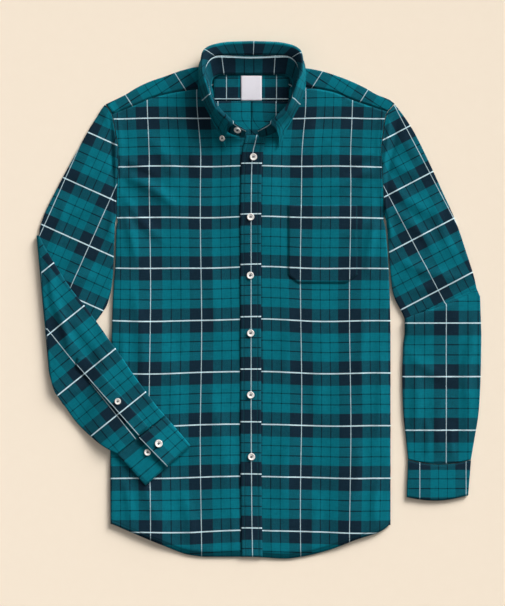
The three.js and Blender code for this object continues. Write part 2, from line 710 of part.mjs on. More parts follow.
// Cuffs: bands of stiffened cloth, buttoned round the end of each sleeve.
// The right one shows its opening. Across it: from the button end under the flap, round the sleeve,
// to the flap's edge.
const cuffRight = {
  seam: { ax: -215.9, ay: -247.7, bx: -138.3, by: -186.6 },
  end: { ax: -170, ay: -298, bx: -98, by: -234 },
  flapAtSeam: 0.425, flapAtEnd: 0.455, overlap: 0.24,
};
const cuffLeft = [
  { ax: 254.5, ay: -257.6, bx: 355.5, by: -258.1, deep: 3.2, sag: 7 },
  { ax: 254, ay: -278, bx: 354, by: -277, deep: 3.6, sag: 7 },
  { ax: 253, ay: -298, bx: 352.5, by: -296, deep: 3.8, sag: 7 },
  { ax: 252.5, ay: -317.5, bx: 351, by: -314.6, deep: 3.4, sag: 7 },
];

// Heights in the band, to the middle of its wall: the button end, and the flap at the sleeve's side
const cuffLow = stiffCloth / 2 + seamGap;
const buttonEndHeight = cuffLow + 2.2;
const flapSideHeight = cuffLow + 3.4;
const flapEdgeHeight = cuffLow + 6.6;

function cuffCorner(t) {
  const at = (key) => mix(cuffRight.seam[key], cuffRight.end[key], t);
  return { ax: at('ax'), ay: at('ay'), bx: at('bx'), by: at('by') };
}

// Point of the band at share t from the seam to the end and share u across from a to b
function cuffPoint(t, u, h) {
  const corner = cuffCorner(t);
  const x = mix(corner.ax, corner.bx, u);
  const y = mix(corner.ay, corner.by, u);
  return new THREE.Vector3(x, y, underFoldedSleeve(x, y) + h);
}

function flapHeight(t, u) {
  const flap = mix(cuffRight.flapAtSeam, cuffRight.flapAtEnd, t);
  return mix(flapEdgeHeight, flapSideHeight, (u - flap) / (1 - flap));
}

function cuffGrid() {
  const grid = [];
  const steps = 4;
  const count = 5;
  for (let k = 0; k <= steps; k += 1) {
    const t = k / steps;
    const corner = cuffCorner(t);
    const length = Math.hypot(corner.bx - corner.ax, corner.by - corner.ay);
    const flap = mix(cuffRight.flapAtSeam, cuffRight.flapAtEnd, t);
    const under = (buttonEndHeight - cuffLow) / 2;
    const over = (flapSideHeight - cuffLow) / 2;
    const path = [];
    const across = (from, to, height) => {
      for (let i = 0; i < count; i += 1) {
        const u = mix(from, to, i / count);
        path.push({ u, h: height(u) });
      }
    };
    const bend = (centre, radius, direction, start) => {
      for (let i = 0; i < ringBend; i += 1) {
        const angle = Math.PI * i / ringBend;
        path.push({
          u: centre + direction * radius / length * Math.sin(angle),
          h: cuffLow + radius + start * radius * Math.cos(angle),
        });
      }
    };
    across(flap + cuffRight.overlap, under / length, () => buttonEndHeight);
    bend(under / length, under, -1, 1);
    across(under / length, 1 - over / length, () => cuffLow);
    bend(1 - over / length, over, 1, -1);
    across(1 - over / length, flap, (u) => flapHeight(t, u));
    path.push({ u: flap, h: flapEdgeHeight });
    grid.push(path.map((p) => cuffPoint(t, p.u, p.h)));
  }
  return grid;
}

addWall('cuff_right', cuffGrid(), { thickness: stiffCloth, color: blueFlannel });

const stiffer = (stiffCloth - cloth) / 2;
addWall('cuff_left', cuffLeft.map((row) => ring(row, (u, h) => new THREE.Vector3(
  mix(row.ax, row.bx, u),
  mix(row.ay, row.by, u) - row.sag * Math.sin(Math.PI * Math.min(Math.max(u, 0), 1)),
  h + stiffer,
))), { thickness: stiffCloth, color: blueFlannel, ring: true });

// Height of the top of a finished piece over a place
function topOf(name, x, y) {
  const geometry = shirt.getObjectByName(name).geometry;
  const position = geometry.getAttribute('position');
  const index = geometry.getIndex().array;
  let top = -Infinity;
  for (let i = 0; i < index.length; i += 3) {
    const [a, b, c] = [0, 1, 2].map((k) => new THREE.Vector3().fromBufferAttribute(position, index[i + k]));
    const area = (b.x - a.x) * (c.y - a.y) - (c.x - a.x) * (b.y - a.y);
    const v = ((x - a.x) * (c.y - a.y) - (c.x - a.x) * (y - a.y)) / area;
    const w = ((b.x - a.x) * (y - a.y) - (x - a.x) * (b.y - a.y)) / area;
    if (v >= 0 && w >= 0 && v + w <= 1) top = Math.max(top, a.z + v * (b.z - a.z) + w * (c.z - a.z));
  }
  return top;
}

// Sleeve placket on the right sleeve, along its slit
const sleevePlacket = { x0: -283.5, y0: -105, x1: -183, y1: -218.7, width: 24, point: 9, steps: 12 };

function sleevePlacketGrid() {
  const dx = sleevePlacket.x1 - sleevePlacket.x0;
  const dy = sleevePlacket.y1 - sleevePlacket.y0;
  const length = Math.hypot(dx, dy);
  const grid = [];
  for (let k = 0; k <= sleevePlacket.steps; k += 1) {
    const row = [];
    for (const across of [0, 0.25, 0.5, 0.75, 1]) {
      const point = k === 0 ? (1 - Math.abs(across - 0.5) * 2) * -sleevePlacket.point / length : 0;
      const along = k / sleevePlacket.steps + point;
      const x = sleevePlacket.x0 + dx * along - dy / length * across * sleevePlacket.width;
      const y = sleevePlacket.y0 + dy * along + dx / length * across * sleevePlacket.width;
      row.push(new THREE.Vector3(x, y, topOf('sleeve_right', x, y) + 2 * seamGap + cloth / 2));
    }
    grid.push(row);
  }
  return grid;
}
addWall('sleeve_placket', sleevePlacketGrid(), { color: blueFlannel });

// Collar: half the stations, from the centre of the back to the front end.
// foot: where the stand is sewn to the neckline. seam: top of the stand. crest: roll of the leaf.
// edge: outer edge of the leaf.
const collarCentre = 1.5;
const standRows = [
  { footX: 0, footY: 366.3, footZ: 4.1, seamX: 0, seamY: 396, seamZ: 13.5 },
  { footX: 31, footY: 366.3, footZ: 4.1, seamX: 32, seamY: 396.5, seamZ: 14 },
  { footX: 50, footY: 366, footZ: 4.6, seamX: 55, seamY: 395.5, seamZ: 17 },
  { footX: 63, footY: 359, footZ: 6.4, seamX: 70, seamY: 386, seamZ: 22 },
  { footX: 65.5, footY: 349, footZ: 6.6, seamX: 75, seamY: 371, seamZ: 27 },
  { footX: 65, footY: 338, footZ: 6.8, seamX: 71, seamY: 350, seamZ: 30 },
  { footX: 63.5, footY: 324, footZ: 6.8, seamX: 64, seamY: 329, seamZ: 31 },
  { footX: 60, footY: 305, footZ: 6.8, seamX: 56, seamY: 313, seamZ: 31 },
  { footX: 48.5, footY: 282, footZ: 7.2, seamX: 47, seamY: 303, seamZ: 29 },
  { footX: 31, footY: 269.5, footZ: 8, seamX: 28, seamY: 286, seamZ: 26 },
  { footX: 11.5, footY: 264.5, footZ: 9.2, seamX: 9.5, seamY: 275, seamZ: 20 },
];
const leafRows = [
  { crestX: 0, crestY: 414.3, crestZ: 17.5, edgeX: 0, edgeY: 377, edgeZ: 1.2, round: 5, lie: 3, belly: 0 },
  { crestX: 34, crestY: 413.5, crestZ: 18, edgeX: 33, edgeY: 379, edgeZ: 1.2, round: 5, lie: 3, belly: 0 },
  { crestX: 60, crestY: 409.5, crestZ: 22, edgeX: 62, edgeY: 388, edgeZ: 1.4, round: 5, lie: 3, belly: 0 },
  { crestX: 76, crestY: 400, crestZ: 28, edgeX: 82, edgeY: 390, edgeZ: 3.4, round: 4, lie: 2, belly: 0 },
  { crestX: 80, crestY: 377, crestZ: 33, edgeX: 87.5, edgeY: 366, edgeZ: 7, round: 3, lie: 2, belly: 0 },
  { crestX: 73.5, crestY: 351, crestZ: 36, edgeX: 87, edgeY: 346, edgeZ: 7, round: 3, lie: 2, belly: 0 },
  { crestX: 66, crestY: 329, crestZ: 36.5, edgeX: 79.5, edgeY: 321, edgeZ: 6.6, round: 4, lie: 2, belly: 0 },
  { crestX: 58.5, crestY: 313, crestZ: 35.5, edgeX: 70, edgeY: 303, edgeZ: 6.6, round: 5, lie: 3, belly: 0 },
  { crestX: 49.5, crestY: 304, crestZ: 34, edgeX: 62.5, edgeY: 288, edgeZ: 6.8, round: 6, lie: 5, belly: 0 },
  { crestX: 40, crestY: 296.5, crestZ: 32.5, edgeX: 53.5, edgeY: 272, edgeZ: 7.4, round: 7, lie: 9, belly: 2 },
  { crestX: 33.5, crestY: 291, crestZ: 31, edgeX: 48.5, edgeY: 259, edgeZ: 7.8, round: 8, lie: 13, belly: 4 },
  { crestX: 29, crestY: 287, crestZ: 29.5, edgeX: 42.5, edgeY: 247, edgeZ: 7.8, round: 8, lie: 17, belly: 6 },
];

const standSwell = 1.6;       // bow of the stand between its foot and its top
const leafGap = 1.2;          // from the top of the stand to the middle of the leaf's wall

function mirrored(rows, columns, steps) {
  const stations = [];
  for (let k = -steps; k <= steps; k += 1) {
    const row = rowAt(rows, Math.abs(k) / steps);
    const sign = Math.sign(k) || 1;
    for (const column of columns) row[column] = collarCentre + sign * row[column];
    stations.push({ ...row, sign });
  }
  return stations;
}

function collarStand() {
  return mirrored(standRows, ['footX', 'seamX'], 15).map((row) => [0, 0.33, 0.67, 1].map((t) => {
    const swell = standSwell * Math.sin(Math.PI * t);
    return new THREE.Vector3(
      mix(row.footX, row.seamX, t),
      mix(row.footY, row.seamY, t),
      mix(row.footZ, row.seamZ, t) - swell,
    );
  }));
}
addWall('collar_stand', collarStand(), { thickness: stiffCloth, color: blueFlannel });

// Section of the leaf: up from the stand to the crest, over, and down to the outer edge
function collarLeaf() {
  const steps = 16;
  const stand = mirrored(standRows.slice(0, -1), ['seamX', 'footX'], steps);
  const leaf = mirrored(leafRows, ['crestX', 'edgeX'], steps);
  return leaf.map((row, k) => {
    const base = stand[k];
    const start = new THREE.Vector3(base.seamX, base.seamY, base.seamZ);
    const rise = start.clone().sub(new THREE.Vector3(base.footX, base.footY, base.footZ)).normalize();
    start.addScaledVector(rise, leafGap);
    const crest = new THREE.Vector3(row.crestX, row.crestY, row.crestZ);
    const edge = new THREE.Vector3(row.edgeX, row.edgeY, row.edgeZ);
    const fall = edge.clone().sub(crest).setZ(0);
    const behind = 1 - smooth(0.2, 0.42, Math.abs(k - steps) / steps);
    const outward = crest.clone().sub(start).setZ(0).normalize();
    const overShoulder = fall.clone().normalize().lerp(outward, behind).normalize();
    const first = crest.clone().addScaledVector(overShoulder, row.round * 0.5);
    const shoulder = crest.clone().addScaledVector(overShoulder, row.round * mix(1.0, 0.9, behind));
    shoulder.z -= mix(2.5, 7.5, behind);
    shoulder.x += row.sign * row.belly * 0.7;
    first.z += 0.2;
    const flat = edge.clone().addScaledVector(fall.clone().normalize(), -row.lie);
    flat.x += row.sign * row.belly;
    flat.z += 0.6 + 0.1 * row.lie;
    const line = [start, crest, first, shoulder, flat, edge];
    const curve = new THREE.CatmullRomCurve3(line, false, 'centripetal');
    const points = [];
    for (let i = 0; i <= 8; i += 1) points.push(curve.getPoint(i / 8));
    return points;
  });
}
addWall('collar_leaf', collarLeaf(), { thickness: stiffCloth, color: blueFlannel });

// Buttons: a dished disc with a rounded rim
function addButton(name, radius, x, y, z, tilt) {
  const h = buttonThickness;
  const profile = [
    [0, 0], [radius * 0.8, 0], [radius, h * 0.45],
    [radius * 0.9, h], [radius * 0.66, h * 0.75], [0, h * 0.7],
  ];
  const geometry = new THREE.LatheGeometry(profile.map((p) => new THREE.Vector2(p[0], p[1])), 12);
  geometry.rotateX(Math.PI / 2);
  const mesh = addMesh(name, geometry, offWhite, 0.35);
  mesh.position.set(x, y, z);
  if (tilt) mesh.quaternion.setFromUnitVectors(new THREE.Vector3(0, 0, 1), tilt.clone().normalize());
}

// A button on top of a piece, turned to lie on it and clear of every swell under its rim
function seatButton(name, under, radius, x, y) {
  const slope = (dx, dy) => (topOf(under, x + dx, y + dy) - topOf(under, x - dx, y - dy)) / (2 * radius);
  const slopeX = slope(radius, 0);
  const slopeY = slope(0, radius);
  const centre = topOf(under, x, y);
  let swell = 0;
  for (let k = 0; k < 12; k += 1) {
    const dx = radius * Math.cos(Math.PI * k / 6);
    const dy = radius * Math.sin(Math.PI * k / 6);
    swell = Math.max(swell, topOf(under, x + dx, y + dy) - centre - slopeX * dx - slopeY * dy);
  }
  addButton(name, radius, x, y, centre + swell + seamGap + 0.1, new THREE.Vector3(-slopeX, -slopeY, 1));
}

const placketButtons = [
  { x: 4, y: 233 }, { x: -0.6, y: 136 }, { x: -1.2, y: 41.5 },
  { x: -0.6, y: -52 }, { x: -0.6, y: -152 }, { x: 0.8, y: -252 },
];
placketButtons.forEach((button, k) => {
  seatButton(`button_front_${k + 1}`, 'placket', buttonRadius, button.x, button.y);
});
const sleeveButton = { radius: 5.2, x: -215, y: -162 };
seatButton('button_sleeve', 'sleeve_placket', sleeveButton.radius, sleeveButton.x, sleeveButton.y);
const flapButton = { radius: 6.2, x: -149, y: -230 };
seatButton('button_cuff_right_flap', 'cuff_right', flapButton.radius, flapButton.x, flapButton.y);

// The second cuff button, half under the flap: at shares t and u of the band's button end
const stiffOnCloth = stiffCloth / 2 + seamGap;
const endButton = { radius: 5.5, t: 0.42, u: 0.393, stepT: 0.08, stepU: 0.06, lift: 0.05 };
const endAt = (dt, du) => cuffPoint(endButton.t + dt, endButton.u + du, buttonEndHeight + stiffOnCloth);
const endAcross = endAt(0, endButton.stepU).sub(endAt(0, -endButton.stepU));
const endAlong = endAt(-endButton.stepT, 0).sub(endAt(endButton.stepT, 0));
const endNormal = endAcross.cross(endAlong).normalize();
const endPlace = endAt(0, 0).addScaledVector(endNormal, endButton.lift);
addButton('button_cuff_right_end', endButton.radius, endPlace.x, endPlace.y, endPlace.z, endNormal);

// A button on a curved piece: on the outer side of the wall at the grid's point nearest to x, y
function seatOn(grid, x, y, outerSide, clear) {
  let best = null;
  for (let r = 1; r < grid.length - 1; r += 1) {
    for (let c = 1; c < grid[r].length - 1; c += 1) {
      const away = Math.hypot(grid[r][c].x - x, grid[r][c].y - y);
      if (best === null || away < best.away) best = { away, r, c };
    }
  }
  const { r, c } = best;
  const across = grid[r][c + 1].clone().sub(grid[r][c - 1]);
  const along = grid[r + 1][c].clone().sub(grid[r - 1][c]);
  const normal = across.cross(along).normalize();
  if (normal.dot(outerSide) < 0) normal.negate();
  return { point: grid[r][c].clone().addScaledVector(normal, stiffOnCloth + clear), normal };
}

// Buttons of the collar's point and of the neckband's end: place, outer side and room under them
const collarButton = { x: -40.3, y: 263, outerSide: new THREE.Vector3(0, 0, 1), clear: 1.3 };
const neckButton = { x: -24, y: 277, outerSide: new THREE.Vector3(-0.3, -1, 0.3), clear: 0.8 };

function addCollarButton(name, radius, grid, button) {
  const seat = seatOn(grid, button.x, button.y, button.outerSide, button.clear);
  addButton(name, radius, seat.point.x, seat.point.y, seat.point.z, seat.normal);
}
addCollarButton('button_collar', collarButtonRadius, collarLeaf(), collarButton);
addCollarButton('button_neck', buttonRadius, collarStand(), neckButton);

// The origin is under the middle of the shirt, on the surface that it lies on
const box = new THREE.Box3().setFromObject(shirt);
for (const mesh of shirt.children) {
  mesh.position.x -= (box.min.x + box.max.x) / 2;
  mesh.position.y -= (box.min.y + box.max.y) / 2;
}

export default shirt;
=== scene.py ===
import json
import math
import bmesh
import bpy
import numpy as np
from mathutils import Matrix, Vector

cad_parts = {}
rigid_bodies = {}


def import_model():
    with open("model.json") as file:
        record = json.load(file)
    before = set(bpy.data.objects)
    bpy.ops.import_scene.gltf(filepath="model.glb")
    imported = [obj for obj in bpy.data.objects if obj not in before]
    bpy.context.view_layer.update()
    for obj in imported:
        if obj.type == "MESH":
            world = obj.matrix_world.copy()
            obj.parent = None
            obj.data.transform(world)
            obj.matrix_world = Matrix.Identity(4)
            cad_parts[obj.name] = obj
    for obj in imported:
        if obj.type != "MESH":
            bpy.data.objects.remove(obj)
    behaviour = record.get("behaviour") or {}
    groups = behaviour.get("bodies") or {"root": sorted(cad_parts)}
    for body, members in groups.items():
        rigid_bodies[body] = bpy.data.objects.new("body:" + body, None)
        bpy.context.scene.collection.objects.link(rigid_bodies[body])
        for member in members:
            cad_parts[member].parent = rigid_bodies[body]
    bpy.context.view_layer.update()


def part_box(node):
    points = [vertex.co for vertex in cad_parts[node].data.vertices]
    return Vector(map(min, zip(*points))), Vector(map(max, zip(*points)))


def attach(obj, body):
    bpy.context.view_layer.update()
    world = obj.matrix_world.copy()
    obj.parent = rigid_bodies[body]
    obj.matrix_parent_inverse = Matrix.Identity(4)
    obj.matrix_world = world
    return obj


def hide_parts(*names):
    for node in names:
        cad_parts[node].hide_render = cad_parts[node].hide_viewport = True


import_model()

print("frame loaded")

# The shirt lies on its back. Shapes are worked out in millimetres about its own middle line,
# then moved to the frame, which is found from the fourth button of the front.
fourthButton = {"x": -0.6, "y": -52.0}
buttonLow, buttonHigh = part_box("button_front_4")
shiftX = (buttonLow[0] + buttonHigh[0]) / 2 - fourthButton["x"] / 1000
shiftY = (buttonLow[1] + buttonHigh[1]) / 2 - fourthButton["y"] / 1000

cloth = {
    "wall": 1.2,          # wall of one layer in the frame
    "shell": 0.9,         # thickness of one layer here
    "stiffWall": 1.5,     # collar and cuffs
    "stiffShell": 1.3,
    "layer": 1.6,         # from the middle of one layer to the next
    "frontClear": 0.08,   # room between the back and the fronts beyond that
    "cell": 4.0,          # size of the mesh cells
}
floorLayer = cloth["wall"] / 2
layer = cloth["layer"]


# Small maths helpers

def smooth(low, high, value):
    t = np.clip((value - low) / (high - low), 0.0, 1.0)
    return t * t * (3 - 2 * t)


def mix(a, b, t):
    return a + (b - a) * t


def table(names, *rows):
    return {name: np.array([row[k] for row in rows], float) for k, name in enumerate(names.split())}


def curve(rows, key, column):
    # A smooth curve through the rows of a table, with no overshoot between them
    xs = rows[key]
    ys = rows[column]
    steps = np.diff(ys) / np.diff(xs)
    before = np.concatenate([steps[:1], steps])
    after = np.concatenate([steps, steps[-1:]])
    both = before * after
    total = before + after
    slope = np.where(both > 0, 2 * both / np.where(total == 0, 1, total), 0.0)

    def at(value):
        v = np.clip(value, xs[0], xs[-1])
        i = np.clip(np.searchsorted(xs, v, side="right") - 1, 0, len(xs) - 2)
        span = xs[i + 1] - xs[i]
        t = (v - xs[i]) / span
        bend = span * t * (1 - t) * (slope[i] * (1 - t) - slope[i + 1] * t)
        return ys[i] + (ys[i + 1] - ys[i]) * t * t * (3 - 2 * t) + bend

    return at


def rowsAlong(rows, count):
    # The rows of a table taken as stations, with more of them between
    first = next(iter(rows.values()))
    place = np.arange(len(first), dtype=float)
    where = np.linspace(0, len(first) - 1, count)
    return {name: curve({"place": place, name: rows[name]}, "place", name)(where) for name in rows}


def spaced(start, end, step):
    return np.linspace(start, end, max(int(round(abs(end - start) / step)), 1) + 1)


def stack(*coordinates):
    return np.stack(np.broadcast_arrays(*coordinates), axis=-1)


def runAlong(points, axis):
    # Distance over the cloth from its first row or column to each point
    steps = np.linalg.norm(np.diff(points, axis=axis), axis=2)
    start = np.zeros_like(np.take(steps, [0], axis=axis))
    return np.concatenate([start, np.cumsum(steps, axis=axis)], axis=axis)


def addObject(name, data):
    made = bpy.data.objects.new(name, data)
    bpy.context.scene.collection.objects.link(made)
    return made


def soft(x, y, folds):
    # Soft ridges and troughs: each runs from x0, y0 to x1, y1, bowed sideways, and fades at its ends
    height = np.zeros(np.broadcast(x, y).shape)
    for x0, y0, x1, y1, width, rise, bow in folds:
        length = math.hypot(x1 - x0, y1 - y0)
        ux = (x1 - x0) / length
        uy = (y1 - y0) / length
        along = ((x - x0) * ux + (y - y0) * uy) / length
        sideways = (y - y0) * ux - (x - x0) * uy - bow * 4 * along * (1 - along)
        ends = smooth(-0.12, 0.3, along) * (1 - smooth(0.7, 1.12, along))
        height = height + rise * ends * np.exp(-(sideways / width) ** 2)
    return height


# Outline of the body and its layers

sideEdge = table(
    "y right left turnedUnder",
    (-420, -227, 226, 55), (-258, -228, 226, 53), (-71, -226, 226, 46), (2, -224, 225, 34),
    (66, -220, 222, 17), (118, -218.5, 218, 2), (141, -218, 216, 2), (180, -217, 214, 2),
    (215, -215, 212, 2), (245, -215, 211, 2), (277, -220, 214, 2), (303, -225, 219, 2),
    (319, -236, 232, 2),
)
hemLine = table(
    "x y",
    (-226, -360), (-194, -374), (-146, -394), (-99, -411), (-71, -414), (0, -414),
    (55, -417), (81, -414), (123, -404), (173, -385), (207, -374), (226, -361),
)
shoulderFold = table(
    "x y",
    (-237, 318), (-220, 326), (-202, 335), (-186, 345), (-165, 355), (-139, 364), (-110, 374),
    (-86, 379), (-62, 377), (62, 377), (86, 377), (107, 374), (141, 364), (164, 355), (185, 345),
    (202, 335), (224, 326), (233, 319),
)
frontTop = table(
    "x y",
    (-225, 302), (-190, 316), (-156, 330), (-115, 339), (-87, 343), (-62, 345), (-60, 329),
    (-57, 306), (-44, 283), (-26, 270), (-8, 266), (10, 266), (27, 270), (45, 283), (57, 306),
    (61, 329), (63, 347), (84, 346), (130, 339), (168, 324), (219, 307),
)
body = {
    "underarm": 141.0,      # height of the underarm on the body's edge
    "turnEnd": 118.0,       # where the turned-under side starts to open out
    "backNeck": 368.5,
    "yokeSeam": 324.0,
    "yokeSeamDrop": 46.0,
    "foldInset": 3.0,       # from the outline to the centre of the side fold
    "armhole": 319.0,       # top of the armhole
}
signOf = {"right": -1, "left": 1}
edgeCurves = {side: curve(sideEdge, "y", side) for side in signOf}
turnedUnder = curve(sideEdge, "y", "turnedUnder")
hemAt = curve(hemLine, "x", "y")
shoulderAt = curve(shoulderFold, "x", "y")
frontTopAt = curve(frontTop, "x", "y")

# Swells of the fronts, which the solids have too: x, y, half length, half width, turn, rise
swells = [
    (-150, 190, 90, 34, 20, 1.5), (-95, 40, 130, 30, -8, 1.2), (-160, -90, 70, 26, 12, 0.9),
    (-70, -230, 120, 34, 6, 1.3), (-170, -320, 60, 24, -14, 1.1), (120, 215, 60, 30, -24, 1.4),
    (95, -40, 110, 34, 10, 1.4), (165, -150, 120, 28, -6, 1.2), (60, -280, 90, 30, 4, 1.2),
    (160, -330, 50, 26, 18, 1.0),
]
# How much of each crease's rise below is used
creaseShare = {"front": 2.0, "sleeve": 1.7, "foldedSleeve": 1.4}
# Creases of the fronts: from x0, y0 to x1, y1, half width, rise, bow
frontCreases = [
    (-214, 205, -120, 150, 9, 1.9, 8), (-214, 182, -140, 96, 8, 1.5, -6),
    (-212, 228, -150, 205, 7, 1.3, 4), (-212, 160, -186, 60, 7, 1.5, 4),
    (-170, 270, -120, 190, 11, 1.2, 8), (-110, 300, -70, 190, 12, 1.1, -8),
    (-190, 20, -176, -150, 8, 1.2, 6), (-206, -40, -196, -220, 6, 1.3, -5),
    (-140, -60, -122, -260, 12, 1.0, 8), (-62, 120, -50, -70, 10, 0.9, -6),
    (-70, -130, -40, -330, 13, 1.1, 8), (-176, -240, -150, -360, 9, 1.2, -7),
    (-110, -310, -96, -404, 9, 1.2, 4), (-30, -330, -26, -408, 8, 0.9, 2),
    (-205, -290, -196, -362, 6, 1.2, 3),
    (210, 214, 130, 172, 9, 1.7, -7), (208, 186, 150, 100, 8, 1.5, 7), (208, 240, 160, 222, 7, 1.2, -4),
    (206, 150, 190, 40, 7, 1.4, -5), (172, 290, 120, 226, 11, 1.2, -8), (100, 306, 66, 230, 12, 1.1, 8),
    (190, 0, 180, -170, 9, 1.2, -6), (208, -60, 202, -240, 6, 1.2, 5), (128, -20, 112, -220, 12, 1.0, -8),
    (60, 10, 50, -150, 10, 0.9, 6), (80, -170, 50, -350, 13, 1.1, -8), (172, -220, 156, -350, 9, 1.2, 8),
    (112, -310, 100, -400, 9, 1.2, -4), (36, -330, 34, -410, 8, 0.9, -2),
    (208, -280, 200, -362, 6, 1.2, -3),
]


def bodyEdge(side, y):
    return edgeCurves[side](y)


def insideEdge(x, y):
    return np.where(x < 0, x - bodyEdge("right", y), bodyEdge("left", y) - x)


def backHeight(x, y):
    turned = turnedUnder(y)
    side = 1 - smooth(turned + 16, turned + 64, insideEdge(x, y))
    side = side * (1 - smooth(body["turnEnd"] - 4, body["underarm"], y))
    pleat = smooth(60, 130, y) * (1 - smooth(26, 60, np.abs(x)))
    yoke = 0.5 * smooth(282, 316, y) * (1 - smooth(110, 190, np.abs(x)))
    return floorLayer + 2 * layer * np.maximum(np.maximum(side, pleat), yoke)


def frontLoft(x, y):
    loft = np.zeros(np.broadcast(x, y).shape)
    for sx, sy, along, across, turn, rise in swells:
        angle = math.radians(turn)
        dx = x - sx
        dy = y - sy
        a = (dx * math.cos(angle) + dy * math.sin(angle)) / across
        b = (dy * math.cos(angle) - dx * math.sin(angle)) / along
        loft = loft + rise * np.exp(-a * a - b * b)
    return loft * smooth(8, 34, insideEdge(x, y))


def armholeRidge(x, y):
    ridge = 1.8 * smooth(body["underarm"], body["underarm"] + 40, y)
    return ridge * np.exp(-(insideEdge(x, y) / 9) ** 2)


def frontBase(x, y):
    return backHeight(x, y) + layer + cloth["frontClear"] + frontLoft(x, y) + armholeRidge(x, y)


def frontHeight(x, y):
    fade = smooth(3, 22, insideEdge(x, y)) * smooth(12, 34, np.abs(x))
    return frontBase(x, y) + creaseShare["front"] * soft(x, y, frontCreases) * fade


print("outline ready")

# The check: cloth coordinates u across and v along, counted in repeats. Whole numbers are white lines.

repeat = 83.0
bodyRows = table(
    "y v",
    (-460, -1.04), (-373.9, 0), (-285.9, 1), (-201.4, 2), (-116.3, 3), (-31.6, 4), (53.5, 5),
    (135.3, 6), (217.9, 7), (295.7, 8), (380, 9.03),
)
bodyColumns = table(
    "x u", (-245, -3), (-163.6, -2), (-81, -1), (0, 0), (81, 1), (160.4, 2), (242, 3),
)
bodyRowAt = curve(bodyRows, "y", "v")
bodyColumnAt = curve(bodyColumns, "x", "u")


def bodyCheck(x, y):
    spread = 8 * smooth(225, 335, y) * np.sign(x) * np.minimum(np.abs(x) / 80, 1)
    spread = spread * (1 - 0.4 * smooth(100, 170, np.abs(x)))
    sway = 1.1 * np.sin(y / 61 + x / 90)
    # The lines rise towards the placket, more so lower down
    wave = (2.6 - 0.0052 * y) * (np.exp(-(x / 73) ** 2) - 0.25)
    wave = wave + 0.5 * np.sin(x / 23 + y / 140) + 0.5 * np.sin(x / 41 - y / 90 + 1.3)
    u = bodyColumnAt(x - spread + sway)
    v = bodyRowAt(y - wave)
    return u, v


def checkOver(points, check):
    return check(points[..., 0], points[..., 1])


def straightCheck(angle, uLine, vLines):
    # A check that lies at an angle: uLine is the place of one white line, vLines those of the others
    cosine = math.cos(math.radians(angle))
    sine = math.sin(math.radians(angle))
    order = np.array(vLines["line"])
    places = np.array(vLines["place"])

    def at(x, y):
        across = x * cosine + y * sine
        along = x * sine - y * cosine
        step = repeat * vLines.get("stretch", 1.0)
        v = np.interp(along, places, order)
        v = np.where(along < places[0], order[0] + (along - places[0]) / step, v)
        v = np.where(along > places[-1], order[-1] + (along - places[-1]) / step, v)
        return (across - uLine["place"]) / uLine["repeat"] + uLine["line"], v

    return at


leftUpperCheck = straightCheck(
    27.7, {"place": 276.4, "repeat": 76.1, "line": 1},
    {"line": [1, 2, 3, 4], "place": [-131.4, -48.8, 33.9, 125.4]},
)
leftLowerCheck = straightCheck(
    0.0, {"place": 315.9, "repeat": 86.7, "line": 1},
    {"line": [5, 6, 7], "place": [35.6, 122.3, 209.0], "stretch": 1.045},
)
rightUpperCheck = straightCheck(
    -24.2, {"place": -275.4, "repeat": 79.9, "line": 1},
    {"line": [1, 2, 3, 4], "place": [-141.1, -57.7, 25.8, 112.4]},
)
rightLowerCheck = straightCheck(
    38.9, {"place": -284.7, "repeat": 86.0, "line": 1},
    {"line": [5, 6, 7, 8], "place": [-248.3, -163.5, -77.6, 7.5]},
)

# Shader tools


class Val:
    # A socket with the maths operators, all through Math nodes

    def __init__(self, graph, socket):
        self.graph = graph
        self.socket = socket

    def maths(self, operation, *others):
        values = {0: self}
        for k, other in enumerate(others):
            values[k + 1] = other
        return self.graph.node("ShaderNodeMath", {"operation": operation}, values)

    def __add__(self, other):
        return self.maths("ADD", other)

    def __radd__(self, other):
        return self.maths("ADD", other)

    def __sub__(self, other):
        return self.maths("SUBTRACT", other)

    def __rsub__(self, other):
        return self.graph.node("ShaderNodeMath", {"operation": "SUBTRACT"}, {0: other, 1: self})

    def __mul__(self, other):
        return self.maths("MULTIPLY", other)

    def __rmul__(self, other):
        return self.maths("MULTIPLY", other)

    def __truediv__(self, other):
        return self.maths("DIVIDE", other)

    def step(self, low, high):
        return self.graph.node(
            "ShaderNodeMapRange", {"interpolation_type": "SMOOTHSTEP"},
            {"Value": self, "From Min": low, "From Max": high},
        )


